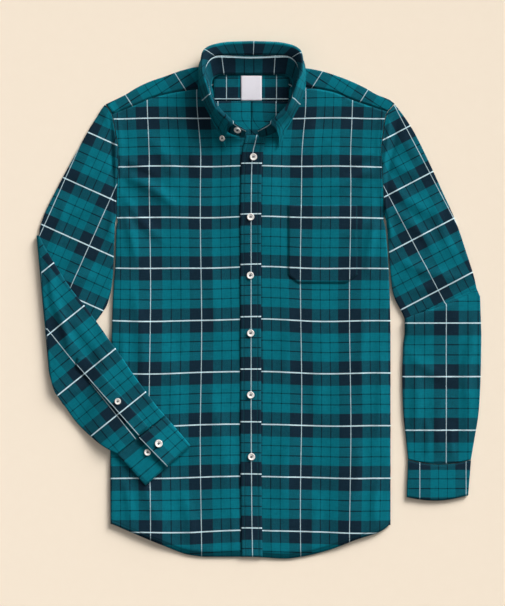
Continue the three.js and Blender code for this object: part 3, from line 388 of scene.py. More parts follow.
class Graph:
    def __init__(self, name):
        self.material = bpy.data.materials.new(name)
        self.material.use_nodes = True
        self.tree = self.material.node_tree
        self.shader = self.tree.nodes["Principled BSDF"]

    def put(self, socket, value):
        if isinstance(value, Val):
            self.tree.links.new(value.socket, socket)
        else:
            socket.default_value = value

    def node(self, kind, settings, values, output=0):
        node = self.tree.nodes.new(kind)
        for name, value in settings.items():
            setattr(node, name, value)
        for name, value in values.items():
            self.put(node.inputs[name], value)
        return Val(self, node.outputs[output])

    def blend(self, a, b, factor, mode="MIX"):
        node = self.tree.nodes.new("ShaderNodeMix")
        node.data_type = "RGBA"
        node.blend_type = mode
        self.put(node.inputs[0], factor)
        self.put(node.inputs[6], a)
        self.put(node.inputs[7], b)
        return Val(self, node.outputs[2])

    def scaled(self, vector, size):
        return self.node("ShaderNodeVectorMath", {"operation": "MULTIPLY"}, {0: vector, 1: size})

    def noise(self, vector, scale, detail=2.0, roughness=0.5):
        return self.node(
            "ShaderNodeTexNoise", {},
            {"Vector": vector, "Scale": scale, "Detail": detail, "Roughness": roughness},
        )

    def parts(self, vector):
        first = self.node("ShaderNodeSeparateXYZ", {}, {0: vector})
        return first, Val(self, first.socket.node.outputs[1])

    def higher(self, a, b):
        return self.node("ShaderNodeMath", {"operation": "MAXIMUM", "use_clamp": True}, {0: a, 1: b})

    def objectPlace(self):
        return self.node("ShaderNodeTexCoord", {}, {}, 3)

    def bump(self, strength, distance, height):
        return self.node(
            "ShaderNodeBump", {}, {"Strength": strength, "Distance": distance, "Height": height},
        )

    def surface(self, values):
        for name, value in values.items():
            self.put(self.shader.inputs[name], value)
        return self.material


# Colours of the yarns, linear, with painted shade for seam grooves and cloth edges, and the check in repeats
yarn = {
    "teal": (0.0014, 0.136, 0.182, 1),
    "navy": (0.0058, 0.0185, 0.033, 1),
    "line": (0.0012, 0.013, 0.022, 1),
    "white": (0.62, 0.82, 0.90, 1),
    "thread": (0.004, 0.055, 0.07, 1),
    "fuzz": (0.05, 0.24, 0.28, 1),
    "paintedSeamShade": (0.003, 0.012, 0.016, 1),
    "paintedEdgeShade": (0.004, 0.02, 0.027, 1),
    "bandHalf": 0.232,          # half the dark band
    "bandBlur": 0.006,
    "warpWhiteHalf": 0.0075,    # half the white lines
    "weftWhiteHalf": 0.0115,
    "whiteBlur": 0.003,
    "linePlace": 0.405,         # the thin dark lines, from a white line
    "lineHalf": 0.0105,
    "lineBlur": 0.004,
    "wobble": 0.006,            # how far the lines wander
}
# The twill's ribs in millimetres, and how much each part of the weave shows
weave = {
    "rib": 1.35, "weftShare": 0.60, "ribShare": 0.36, "speckleShare": 0.8,
    "whiteShare": 0.62, "whiteRib": 0.35, "whiteSpeckle": 0.7,
    "shade": 0.32, "cloud": 0.22, "nap": 0.24, "heather": 0.90, "fuzz": 0.04,
}


def flannel(name, stitches):
    g = Graph(name)
    clothUv = g.node("ShaderNodeUVMap", {"uv_map": "cloth"}, {})
    u, v = g.parts(clothUv)
    grain = g.scaled(clothUv, (repeat, repeat, 1.0))            # millimetres along the threads
    wobble = (g.noise(grain, 0.35, 2.0) - 0.5) * yarn["wobble"]

    def threads(coordinate, whiteHalf):
        # Colours of one set of threads, and where they are white
        away = (coordinate + wobble).maths("PINGPONG", 0.5)
        band = away.step(yarn["bandHalf"] - yarn["bandBlur"], yarn["bandHalf"] + yarn["bandBlur"])
        colour = g.blend(yarn["navy"], yarn["teal"], band)
        fromLine = (away - yarn["linePlace"]).maths("ABSOLUTE")
        line = 1 - fromLine.step(yarn["lineHalf"] - yarn["lineBlur"], yarn["lineHalf"] + yarn["lineBlur"])
        white = 1 - away.step(whiteHalf - yarn["whiteBlur"], whiteHalf + yarn["whiteBlur"])
        return g.blend(colour, yarn["line"], line), white

    warp, warpWhite = threads(u, yarn["warpWhiteHalf"])
    weft, weftWhite = threads(v, yarn["weftWhiteHalf"])
    # Fine twill: the two sets of threads come up by turns on a slant
    slant = (u + v) * (repeat / weave["rib"])
    face = (slant.maths("PINGPONG", 0.5) * 2.0).step(0.15, 0.85)
    speckle = g.noise(grain, 1.4, 3.0, 0.65)
    upper = weave["weftShare"] + (face - 0.5) * weave["ribShare"] + (speckle - 0.5) * weave["speckleShare"]
    colour = g.blend(warp, weft, upper)
    broken = weave["whiteShare"] + (face - 0.5) * weave["whiteRib"] + (speckle - 0.5) * weave["whiteSpeckle"]
    whiteness = g.higher(warpWhite * (broken - 0.04), weftWhite * (1.45 - broken))
    colour = g.blend(colour, yarn["white"], g.higher(whiteness, warpWhite * weftWhite))
    # Slow changes of shade, nap, and heather: streaks of lighter yarn along both sets of threads
    cloud = g.noise(g.objectPlace(), 26.0, 3.0, 0.55)
    nap = g.noise(grain, 0.55, 4.0, 0.7)
    warpStreak = g.noise(g.scaled(clothUv, (repeat * 0.62, repeat * 0.09, 1.0)), 1.0, 2.0, 0.6)
    weftStreak = g.noise(g.scaled(clothUv, (repeat * 0.08, repeat * 0.55, 1.0)), 1.0, 2.0, 0.6)
    heather = warpStreak * 0.5 + weftStreak * 0.5
    shade = weave["shade"] + cloud * weave["cloud"] + nap * weave["nap"] + heather * weave["heather"]
    shadeColour = g.node("ShaderNodeCombineColor", {}, {0: shade, 1: shade, 2: shade})
    colour = g.blend(colour, shadeColour, 1.0, "MULTIPLY")
    colour = g.blend(colour, yarn["fuzz"], nap.step(0.56, 0.74) * weave["fuzz"])
    relief = face * 0.35 + speckle * 0.5 + nap * 0.4
    if stitches:
        fromEdge, run = g.parts(g.node("ShaderNodeUVMap", {"uv_map": "seam"}, {}))
        fromSeam = (fromEdge - stitches["inset"]).maths("ABSOLUTE")
        dash = (run / stitches["length"]).maths("PINGPONG", 0.5).step(0.10, 0.17)
        stitch = (1 - fromSeam.step(0.25, 0.6)) * dash
        # The groove along the seam: a hollow in the bump, and painted shade darkening the colour between the
        # stitches
        groove = 1 - fromSeam.step(0.3, 2.2)
        colour = g.blend(colour, yarn["thread"], stitch * 0.75)
        colour = g.blend(colour, yarn["paintedSeamShade"], groove * (1 - dash) * 0.25)
        # Painted shade: the colour is darkened within about a millimetre of the stitched edges
        colour = g.blend(colour, yarn["paintedEdgeShade"], (1 - fromEdge.step(0.0, 1.1)) * 0.15)
        relief = relief + stitch * 1.2 - groove * 1.6
    return g.surface({
        "Base Color": colour, "Roughness": 0.86 + nap * 0.14, "Normal": g.bump(0.55, 0.0005, relief),
        "Specular IOR Level": 0.06, "Sheen Weight": 0.06, "Sheen Roughness": 0.55,
        "Sheen Tint": (0.08, 0.55, 0.65, 1),
    })


def resin():
    g = Graph("buttonResin")
    swirl = g.noise(g.objectPlace(), 420.0, 3.0, 0.6)
    return g.surface({
        "Base Color": g.blend((0.88, 0.865, 0.83, 1), (0.74, 0.72, 0.68, 1), swirl),
        "Roughness": 0.24 + swirl * 0.14, "Coat Weight": 0.25, "Normal": g.bump(0.15, 0.0002, swirl),
    })


def darkThread():
    g = Graph("buttonThread")
    strands = g.noise(g.objectPlace(), 2600.0, 2.0)
    return g.surface({
        "Base Color": g.blend((0.006, 0.010, 0.016, 1), (0.03, 0.045, 0.06, 1), strands),
        "Roughness": 0.7 + strands * 0.2, "Normal": g.bump(0.5, 0.0002, strands),
    })


def satin():
    g = Graph("labelSatin")
    place = g.objectPlace()
    ribs = g.node("ShaderNodeTexWave", {"wave_type": "BANDS", "bands_direction": "Y"},
                  {"Vector": place, "Scale": 420.0, "Distortion": 0.4})
    threads = g.noise(place, 900.0, 2.0)
    return g.surface({
        "Base Color": g.blend(
            (0.80, 0.775, 0.84, 1), (0.72, 0.70, 0.765, 1), ribs * 0.5 + threads * 0.4,
        ),
        "Roughness": 0.42 + threads * 0.16, "Normal": g.bump(0.35, 0.0002, ribs + threads * 0.4),
        "Sheen Weight": 0.15,
    })


def floorPaper():
    g = Graph("floorPaper")
    grain = g.noise(g.objectPlace(), 60.0, 3.0)
    return g.surface({
        "Base Color": g.blend((0.905, 0.785, 0.645, 1), (0.89, 0.768, 0.628, 1), grain),
        "Roughness": 0.92 + grain * 0.06,
    })


finishes = {
    "flannel": flannel("flannelCheck", None),
    "stitched": flannel("flannelStitched", {"inset": 1.6, "length": 2.6}),
    "wideStitched": flannel("flannelWideStitched", {"inset": 6.0, "length": 2.6}),
    "resin": resin(),
    "thread": darkThread(),
    "satin": satin(),
}
print("materials ready")

# Making the meshes


def surfaceArea(points, ring):
    right = np.roll(points, -1, axis=1) if ring else points[:, 1:]
    left = points if ring else points[:, :-1]
    a = right[:-1] - left[:-1]
    b = left[1:] - left[:-1]
    c = right[1:] - right[:-1]
    d = right[1:] - left[1:]
    return float((np.linalg.norm(np.cross(a, b), axis=2) + np.linalg.norm(np.cross(d, c), axis=2)).sum() / 2)


def edgeDistances(points, edges):
    # Distance over the cloth from each point to the nearest stitched edge, and the run along it
    across = runAlong(points, 1)
    along = runAlong(points, 0)
    choices = {
        "start": (along, across), "end": (along[-1:] - along, across),
        "low": (across, along), "high": (across[:, -1:] - across, along),
    }
    farAway = 400.0
    distance = np.full(across.shape, farAway)
    run = along.copy()
    for edge in edges:
        far, way = choices[edge]
        nearer = far < distance
        run = np.where(nearer, way, run)
        distance = np.minimum(far, distance)
    return distance, run


def makeSheet(name, points, check, nodes, finish="flannel", thickness=cloth["shell"], ring=False,
              edges=()):
    # A thin closed shell about a grid of points in millimetres, with its check as a UV map
    rows, columns, _ = points.shape
    u, v = check
    distance, run = edgeDistances(points, edges)
    mesh = bpy.data.meshes.new(name)
    placed = points / 1000
    placed[..., 0] += shiftX
    placed[..., 1] += shiftY
    index = np.arange(rows * columns).reshape(rows, columns)
    after = np.roll(index, -1, axis=1) if ring else index[:, 1:]
    before = index if ring else index[:, :-1]
    faces = np.stack([before[:-1], after[:-1], after[1:], before[1:]], axis=-1).reshape(-1, 4)
    mesh.from_pydata(placed.reshape(-1, 3).tolist(), [], faces.tolist())
    corners = np.empty(len(mesh.loops), int)
    mesh.loops.foreach_get("vertex_index", corners)
    for layerName, first, second in (("cloth", u, v), ("seam", distance, run)):
        uv = mesh.uv_layers.new(name=layerName)
        both = np.stack([np.ravel(first), np.ravel(second)], axis=-1)
        uv.data.foreach_set("uv", both[corners].astype(np.float32).ravel())
    mesh.polygons.foreach_set("use_smooth", np.ones(len(mesh.polygons), bool))
    mesh.materials.append(finishes[finish])
    mesh.update()
    piece = addObject(name, mesh)
    shell = piece.modifiers.new("thickness", "SOLIDIFY")
    shell.thickness = thickness / 1000
    shell.offset = 0
    shell.use_even_offset = False
    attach(piece, "root")
    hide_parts(*nodes)
    area = surfaceArea(points / 1000, ring)
    widths = runAlong(points, 1)[:, -1]
    lengths = runAlong(points, 0)[-1]


# Fronts and back

panel = {
    "fixedLow": -338.0,     # between these two heights the rows are level
    "fixedTop": 240.0,
    "neckRows": 26,
    "innerEdge": 14.0,      # inner edge of the right front
    "evenTo": 92.0,         # out to here the columns run straight up
    "seamGap": 0.2,         # room at the front seam, twice that at the back seam
    "hemRise": 2.5,         # the back's hem lies this much inside the front's
}


def panelRows(bottom, top):
    # Heights of one column: level rows up to the chest, then spread up to the top edge
    low = spaced(panel["fixedLow"], panel["fixedTop"], cloth["cell"])
    first = mix(bottom, low[0], np.linspace(0, 1, 7)[:-1])
    last = mix(low[-1], top, np.linspace(0, 1, panel["neckRows"])[1:])
    return np.concatenate([first, low, last])


def yokeBackSeam(x):
    return body["yokeSeam"] - body["yokeSeamDrop"] * (np.maximum(np.abs(x) - 40, 0) / 185) ** 2


def ownHeights(x, bottomAt, topAt):
    # Heights of a column that leans: each row's own, at that row's x
    return np.array([panelRows(bottomAt(place), topAt(place))[k] for k, place in enumerate(x)])


def frontBottom(x):
    return float(hemAt(x))


def frontSeam(x):
    return float(frontTopAt(x)) - panel["seamGap"]


def backBottom(x):
    return float(hemAt(x)) + panel["hemRise"]


def backSeam(x):
    return float(yokeBackSeam(x)) - 2 * panel["seamGap"]


hook = {"bendSteps": 9, "flatSteps": 6, "flatReach": 6.0}


def sideHook(side, y, height, lowest, opened, reach):
    # The side of a panel turned under the body, which opens out flat above the underarm
    sign = signOf[side]
    centre = sign * bodyEdge(side, y) - body["foldInset"]
    radius = (height - lowest) / 2
    turned = np.maximum(turnedUnder(y), 0.5)
    angles = np.linspace(0, math.pi, hook["bendSteps"])
    inward = np.linspace(0, 1, hook["flatSteps"] + 1)[1:]
    outs = [radius * math.sin(a) for a in angles] + [-turned * t for t in inward]
    downs = [radius * (1 - math.cos(a)) for a in angles] + [2 * radius] * hook["flatSteps"]
    flat = np.linspace(reach - hook["flatReach"], reach, len(outs))
    out = np.stack([mix(o, flat[k], opened) for k, o in enumerate(outs)], axis=1)
    down = np.stack([d * (1 - opened) for d in downs], axis=1)
    return sign * (centre[:, None] + out), down


def frontPanel(side, innerEdge):
    sign = signOf[side]
    places = np.concatenate([
        spaced(innerEdge, sign * 44, 4), sign * np.array([48, 51, 54, 56.5, 58.5, 60, 61.2, 62.3]),
        sign * spaced(63.5, panel["evenTo"], cloth["cell"]),
    ])
    y = panelRows(frontBottom(sign * 224.0), frontSeam(sign * 222.0))
    last = sign * bodyEdge(side, y) - 9.5
    columns = [np.full_like(y, x) for x in places]
    columns += [sign * mix(panel["evenTo"], last, t) for t in np.linspace(0, 1, 33)[1:]]
    points = []
    for x in columns:
        heights = ownHeights(x, frontBottom, frontSeam)
        points.append(stack(x, heights, frontHeight(x, heights)))
    edgeHeight = frontBase(bodyEdge(side, y) - sign * body["foldInset"], y)
    opened = smooth(body["turnEnd"], body["underarm"], y)
    x, down = sideHook(side, y, edgeHeight, floorLayer, opened, body["foldInset"] - 0.1)
    for k in range(x.shape[1]):
        alongY = mix(y, ownHeights(x[:, k], frontBottom, frontSeam), opened)
        points.append(stack(x[:, k], alongY, edgeHeight - down[:, k]))
    return np.stack(points, axis=1)


for side, innerEdge in (("right", panel["innerEdge"]), ("left", panel["innerEdge"] + 0.4)):
    front = frontPanel(side, innerEdge)
    makeSheet(f"front_{side}_cloth", front, checkOver(front, bodyCheck), [f"front_{side}"],
              finish="wideStitched", edges=("start",))


def pleatLine(y):
    # The box pleat across the middle of the back: flat below, folded towards the yoke
    folded = smooth(90, 170, y)
    raised = smooth(60, 130, y) * 2 * layer
    half = table(
        "flat fold down",
        (26, 1.8, 0), (24, 0.9, 0.12), (22, 0.9, 0.25), (20, 1.8, 0.5), (16, 10, 0.5), (13, 18, 0.5),
        (10, 18.8, 0.7), (7, 18, 1), (3.5, 9, 1),
    )
    xs = []
    downs = []
    for flat, fold, down in zip(half["flat"], half["fold"], half["down"]):
        xs.append(-mix(flat, fold, folded))
        downs.append(down * raised)
    xs = xs + [np.zeros_like(y)] + [-x for x in reversed(xs)]
    downs = downs + [raised] + list(reversed(downs))
    return xs, downs


def backPanel():
    middle = panelRows(backBottom(0.0), backSeam(0.0))
    outer = panelRows(backBottom(224.0), backSeam(218.0))

    def half(side):
        sign = signOf[side]
        edgeHeight = backHeight(bodyEdge(side, outer) - sign * body["foldInset"], outer)
        opened = smooth(84, body["turnEnd"] - 4, outer)
        reach = mix(-7.0, body["foldInset"] - 0.1, smooth(body["underarm"], body["underarm"] + 12, outer))
        sideX, down = sideHook(side, outer, edgeHeight, edgeHeight - layer, opened, 0.0)
        sideX = sideX + sign * (reach * opened)[:, None]
        result = [stack(sideX[:, k], outer, edgeHeight - down[:, k]) for k in range(sideX.shape[1])]
        result.reverse()
        last = np.abs(sideX[:, 0]) - 2.0
        columns = [sign * mix(panel["evenTo"], last, t) for t in np.linspace(1, 0, 22)]
        columns += [np.full_like(outer, sign * x) for x in (84, 76, 68, 60, 54, 48, 42, 36, 31)]
        for x in columns:
            heights = ownHeights(x, backBottom, backSeam)
            result.append(stack(x, heights, backHeight(x, heights)))
        return result

    points = half("right")
    for x, down in zip(*pleatLine(middle)):
        points.append(stack(x, middle, backHeight(np.zeros_like(middle), middle) - down))
    points += reversed(half("left"))
    return np.stack(points, axis=1)


def backCheck(x, y):
    # Inside the neck the box pleat spreads the white lines
    u, v = bodyCheck(x, y)
    spread = (x + 6.5) / 94.0 + 0.5
    return mix(u, spread, smooth(230, 300, y)), v + 0.47


back = backPanel()
makeSheet("back_cloth", back, checkOver(back, backCheck), ["back_panel"])

# Yoke: lines up from the back seam, behind the neck or over a shoulder to the front seam
yoke = {"lastColumn": 214.0, "shoulderRow": 303.0, "flatRows": 10, "foldSteps": 10, "frontRows": 6}


def neckLine(x):
    rows = yoke["flatRows"] + yoke["foldSteps"] + yoke["frontRows"]
    ts = np.linspace(0, 1, rows)
    return stack(x, mix(yokeBackSeam(x), body["backNeck"], ts), floorLayer)


def shoulderLine(side, column=None, inset=None):
    # At a column of the fronts, or at an inset from the armhole
    sign = signOf[side]

    def edgeAt(y):
        return abs(float(bodyEdge(side, min(y, body["armhole"]))))

    def acrossAt(y, seam):
        if inset is not None:
            return sign * (edgeAt(y) - inset)
        share = max(column - panel["evenTo"], 0) / (yoke["lastColumn"] - panel["evenTo"])
        return sign * (column + share * (edgeAt(y) - edgeAt(seam)))

    def settle(edge, seam):
        y = float(edge(acrossAt(yoke["shoulderRow"], seam)))
        for _ in range(4):
            y = float(edge(acrossAt(y, seam)))
        return y

    seam = float(frontTopAt(sign * column)) if inset is None else settle(frontTopAt, yoke["shoulderRow"])
    start = settle(yokeBackSeam, seam)
    top = float(frontHeight(np.array(acrossAt(seam, seam)), np.array(seam)))
    radius = (top - floorLayer) / 2
    centre = settle(shoulderAt, seam) - radius - cloth["wall"] / 2
    angles = np.linspace(0, math.pi, yoke["foldSteps"] + 1)[1:]
    after = np.linspace(0, 1, yoke["frontRows"] + 1)[1:]
    ys = np.concatenate([
        np.linspace(start, centre, yoke["flatRows"]), centre + radius * np.sin(angles),
        mix(centre, seam + 0.1, after),
    ])
    zs = np.concatenate([
        np.full(yoke["flatRows"], floorLayer), floorLayer + radius * (1 - np.cos(angles)),
        top + 0.5 * np.sin(math.pi * after),
    ])
    return stack(np.array([acrossAt(y, seam) for y in ys]), ys, zs)


def yokePanel():
    wing = [{"column": x} for x in spaced(63.5, panel["evenTo"], 4)]
    wing += [{"column": x} for x in np.linspace(panel["evenTo"], yoke["lastColumn"], 27)[1:]]
    wing += [{"inset": 6.0}, {"inset": 0.1}]
    lines = [shoulderLine("right", **place) for place in reversed(wing)]
    lines += [neckLine(x) for x in (-61.5, -52, -39, -26, -13, 0, 13, 26, 39, 52, 61.5)]
    lines += [shoulderLine("left", **place) for place in wing]
    return np.stack(lines, axis=0)


def yokeCheck(x, y):
    # The yoke's lines lie square to the shoulder
    u = np.where(x < 0, (0.84 * x + 0.54 * y - 9.4) / 86.3, (0.84 * x - 0.54 * y + 103.4) / 77.8)
    v = (0.54 * np.abs(x) + 0.84 * y) / repeat + 0.05
    return u, v


yokeGrid = yokePanel()
makeSheet("yoke_cloth", yokeGrid, checkOver(yokeGrid, yokeCheck), ["yoke"], finish="stitched",
          edges=("high",))

innerYoke = {"half": 61.0, "height": floorLayer + layer}
xs = spaced(-innerYoke["half"], innerYoke["half"], 4)[None, :]
ts = np.linspace(0, 1, 12)[:, None]
ys = mix(yokeBackSeam(xs), body["backNeck"] - 0.3, ts)
innerGrid = stack(xs, ys, innerYoke["height"])
innerCheck = ((innerGrid[..., 0] + 39.7) / 81.0, (innerGrid[..., 1] - 327.2) / repeat)
makeSheet("yoke_inner_cloth", innerGrid, innerCheck, ["yoke_inner"], finish="stitched", edges=("start",))

# Neck label, left blank
label = {"halfWidth": 16.75, "bottom": 324.4, "top": 364.6, "x": 0.5, "gap": 0.3, "wall": 0.6, "bulge": 0.5}
xs = np.linspace(label["x"] - label["halfWidth"], label["x"] + label["halfWidth"], 17)[None, :]
ys = np.linspace(label["bottom"], label["top"], 21)[:, None]
upLabel = (ys - label["bottom"]) / (label["top"] - label["bottom"])
rise = label["bulge"] * np.sin(np.pi * upLabel) * np.cos((xs - label["x"]) / 16)
labelLow = innerYoke["height"] + cloth["wall"] / 2 + label["gap"] + label["wall"] / 2
labelGrid = stack(xs, ys, labelLow + rise)
makeSheet("neck_label_satin", labelGrid, (labelGrid[..., 0], labelGrid[..., 1]), ["neck_label"],
          finish="satin", thickness=label["wall"])

# Front placket
placket = {"width": 34.0, "top": 269.0, "bottom": -414.0, "steps": 172}
placketLine = table(
    "y x",
    (-417, 1.8), (-350, 0.6), (-152, -0.6), (131, -0.6), (200, 0), (220, 0.6), (243, 2.8), (256, 6),
    (270, 9),
)
placketX = curve(placketLine, "y", "x")


def placketHeight(x, y):
    ripple = 0.35 * np.sin(y / 17 + 0.6 * np.sin(y / 41)) * smooth(7, 16, np.abs(x - placketX(y)))
    return frontBase(x, np.minimum(y, panel["fixedTop"])) + layer + ripple


def placketGrid():
    ts = np.linspace(0, 1, placket["steps"])[:, None]
    across = np.linspace(-0.5, 0.5, 15)[None, :]
    y = mix(placket["bottom"], placket["top"], ts) + 0 * across
    x = placketX(y) + across * placket["width"]
    y = y + (hemAt(x) - placket["bottom"]) * (1 - smooth(0, 0.03, ts))
    sewn = 0.5 * smooth(0.40, 0.5, np.abs(across)) + 0 * ts
    return stack(x, y, placketHeight(x, y) - sewn)


placketPoints = placketGrid()
px = placketPoints[..., 0]
py = placketPoints[..., 1]
placketU = (px - placketX(py) - 0.8) / repeat
makeSheet("placket_cloth", placketPoints, (placketU, bodyCheck(px, py - 4.0)[1]), ["placket"],
          finish="wideStitched", edges=("low", "high"))

# Chest pocket
pocket = {
    "inner": 60.0, "outer": 172.5, "top": 155.5, "bottom": 29.0, "corner": 42.0,
    "cutInner": 0.14, "cutOuter": 0.16,     # shares of the width that the corners take
    "above": 1.05, "gape": 0.5,             # over the front, and more in the middle of the mouth
}
ts = np.linspace(0, 1, 34)[:, None]
rs = np.linspace(0, 1, 36)[None, :]
cutOff = np.maximum(np.maximum(1 - ts / pocket["cutInner"], 1 - (1 - ts) / pocket["cutOuter"]), 0)
pocketY = mix(mix(pocket["bottom"], pocket["corner"], cutOff), pocket["top"], rs)
pocketX = mix(pocket["inner"], pocket["outer"], ts) + 0 * pocketY
gape = pocket["gape"] * np.sin(np.pi * ts) * smooth(0.4, 1.0, rs)
pocketGrid = stack(pocketX, pocketY, frontHeight(pocketX, pocketY) + pocket["above"] + gape)
makeSheet("pocket_cloth", pocketGrid, bodyCheck(pocketX, pocketY), ["pocket"], finish="stitched",
          edges=("low", "start", "end"))
print("body ready")

# Sleeves: flat tubes. Each row is a ring from its inner edge, a, to its outer edge, b.

ringShape = {"across": 34, "bend": 6}
bodyClear = 0.5      # from the body's side to the middle of the sleeve's wall


def ringPoints(length, deep):
    # Distance from a and height in the flat tube, for every point of the ring
    r = deep[:, None] / 2
    across = np.linspace(0, 1, ringShape["across"])
    bend = np.pi * np.linspace(0, 1, ringShape["bend"] + 2)[1:-1]
    far = length[:, None] - r
    level = 0 * across
    s = [mix(r, far, across), far + r * np.sin(bend), mix(far, r, across), r - r * np.sin(bend)]
    h = [r * level, r * (1 - np.cos(bend)), r * (level + 2), r * (1 + np.cos(bend))]
    over = np.repeat([False, False, True, False], [len(across), len(bend)] * 2)
    return np.concatenate(s, axis=1), floorLayer + np.concatenate(h, axis=1), over


def clearOfBody(side, rows):
    edge = bodyEdge(side, rows["ay"])
    if side == "right":
        return rows | {"ax": np.minimum(rows["ax"], edge - bodyClear)}
    return rows | {"ax": np.maximum(rows["ax"], edge + bodyClear)}


def armholeBow(side, u):
    low = body["underarm"]
    y = mix(low + 1, body["armhole"] - 1, np.clip(u, 0, 1))
    straight = mix(bodyEdge(side, low), bodyEdge(side, body["armhole"]), np.clip(u, 0, 1))
    return bodyEdge(side, y) - straight


def ringsOf(rows):
    length = np.hypot(rows["bx"] - rows["ax"], rows["by"] - rows["ay"])
    s, h, over = ringPoints(length, rows["deep"])
    u = s / length[:, None]
    x = mix(rows["ax"][:, None], rows["bx"][:, None], u)
    y = mix(rows["ay"][:, None], rows["by"][:, None], u)
    return x, y, u, h, over


def creased(x, y, u, shown, creases, rise, innerFade=0.12):
    # Lift of the creases on the side that shows, none at the edges of the tube
    fade = smooth(0.02, innerFade, u) * (1 - smooth(0.9, 0.99, u))
    return np.where(shown[None, :], rise * soft(x, y, creases) * fade, 0)


def oneRing(row):
    # The ring of one row, its length, and the direction square to it
    ring = ringsOf({name: np.array([value]) for name, value in row.items()})
    alongX = row["bx"] - row["ax"]
    alongY = row["by"] - row["ay"]
    length = math.hypot(alongX, alongY)
    return ring, -alongY / length, alongX / length


def joinChecks(*checks):
    return tuple(np.concatenate([check[k] for check in checks]) for k in (0, 1))


def mixChecks(a, b, share):
    return tuple(mix(a[k], b[k], share) for k in (0, 1))


rightUpper = table(
    "ax ay bx by deep bow",
    (-218, 141, -237, 317.5, 3.4, 1), (-220, 130, -242, 311, 3.4, 0.95), (-221, 115, -248, 301, 2.2, 0.85),
    (-222, 84, -262, 278, 3.0, 0.55), (-224, 40, -281, 243, 3.2, 0.2), (-232, -2, -300, 208, 3.0, 0),
    (-253, -35, -318, 174, 3.0, 0), (-279, -72, -333, 143, 3.0, 0), (-302, -106, -341, 120, 3.0, 0),
    (-321, -136, -343, 106, 3.0, 0),
)
rightFold = {"ax": -321.0, "ay": -136.0, "bx": -343.0, "by": 106.0, "deep": 3.0}
rightLower = table(
    "ax ay bx by deep",
    (-319, -142, -336, 91, 3.0), (-316, -149, -318, 60, 3.0), (-311, -156, -290, 18, 3.0),
    (-309, -159, -271, -6, 3.0), (-307, -162, -252, -31, 3.0), (-304.5, -166, -233, -58, 3.0),
    (-301, -170, -214, -84, 3.0), (-284, -194, -193, -115, 3.0), (-261, -217, -172, -144, 3.0),
    (-238, -235, -155, -167, 3.0), (-216, -247, -139, -186, 3.0),
)
foldedTop = rightFold["deep"] + cloth["wall"]
foldAxis = foldedTop + (layer - cloth["wall"]) / 2
# Creases of the sleeves: from x0, y0 to x1, y1, half width, rise, bow
rightUpperCreases = [
    (-222, 190, -300, 130, 9, 1.8, 6), (-224, 150, -296, 70, 8, 1.6, -6),
    (-228, 226, -290, 196, 8, 1.4, 5),
    (-240, 90, -310, 60, 8, 1.6, 6), (-246, 40, -322, 24, 8, 1.5, -5), (-262, 10, -334, -40, 8, 1.4, 5),
    (-250, 268, -292, 218, 10, 1.0, 4), (-300, 170, -332, 60, 7, 1.2, 5), (-224, 168, -232, 96, 6, 1.5, 3),
    (-229, 300, -225, 200, 4, -1.3, 2), (-221, 290, -219, 200, 3.5, 0.9, 1),
]
rightLowerCreases = [
    (-334, 70, -268, -110, 9, 1.6, -8), (-318, 0, -292, -100, 7, 1.5, 5),
    (-300, -20, -232, -110, 9, 1.3, 6), (-296, -150, -222, -110, 9, 1.2, -6),
    (-268, -190, -206, -120, 9, 1.3, 5), (-250, -214, -190, -150, 8, 1.2, -4),
    (-236, -226, -176, -178, 6, 1.2, 3), (-222, -238, -190, -200, 5, 1.2, 2),
    (-200, -226, -162, -186, 5, 1.1, -2),
]


# The step from the sleeve's upper part down to the front: its place, slant, runs and softness
stepDown = {
    "x": -235, "y": -5, "slant": 34.2, "start": 4, "upperEnd": 62, "bodyEnd": 54,
    "sharp": 0.6, "swell": 0.3, "clear": 0.4,
}


def underFoldedSleeve(x, y):
    # Height of what the folded sleeve lies on: its upper part, then the front, with a soft step between
    slant = math.radians(stepDown["slant"])
    pastUpper = (x - stepDown["x"]) * math.cos(slant) - (y - stepDown["y"]) * math.sin(slant)
    edge = bodyEdge("right", y)
    bodyTop = frontBase(np.maximum(x, edge + 3), y) + cloth["wall"] / 2
    upper = foldedTop * (1 - smooth(stepDown["start"], stepDown["upperEnd"], pastUpper))
    over = bodyTop * (1 - smooth(stepDown["start"], stepDown["bodyEnd"], edge - x))
    sharp = stepDown["sharp"]
    softened = np.log(np.exp(upper / sharp) + np.exp(over / sharp)) * sharp
    return np.minimum(softened, np.maximum(upper, over) + stepDown["swell"]) + stepDown["clear"]


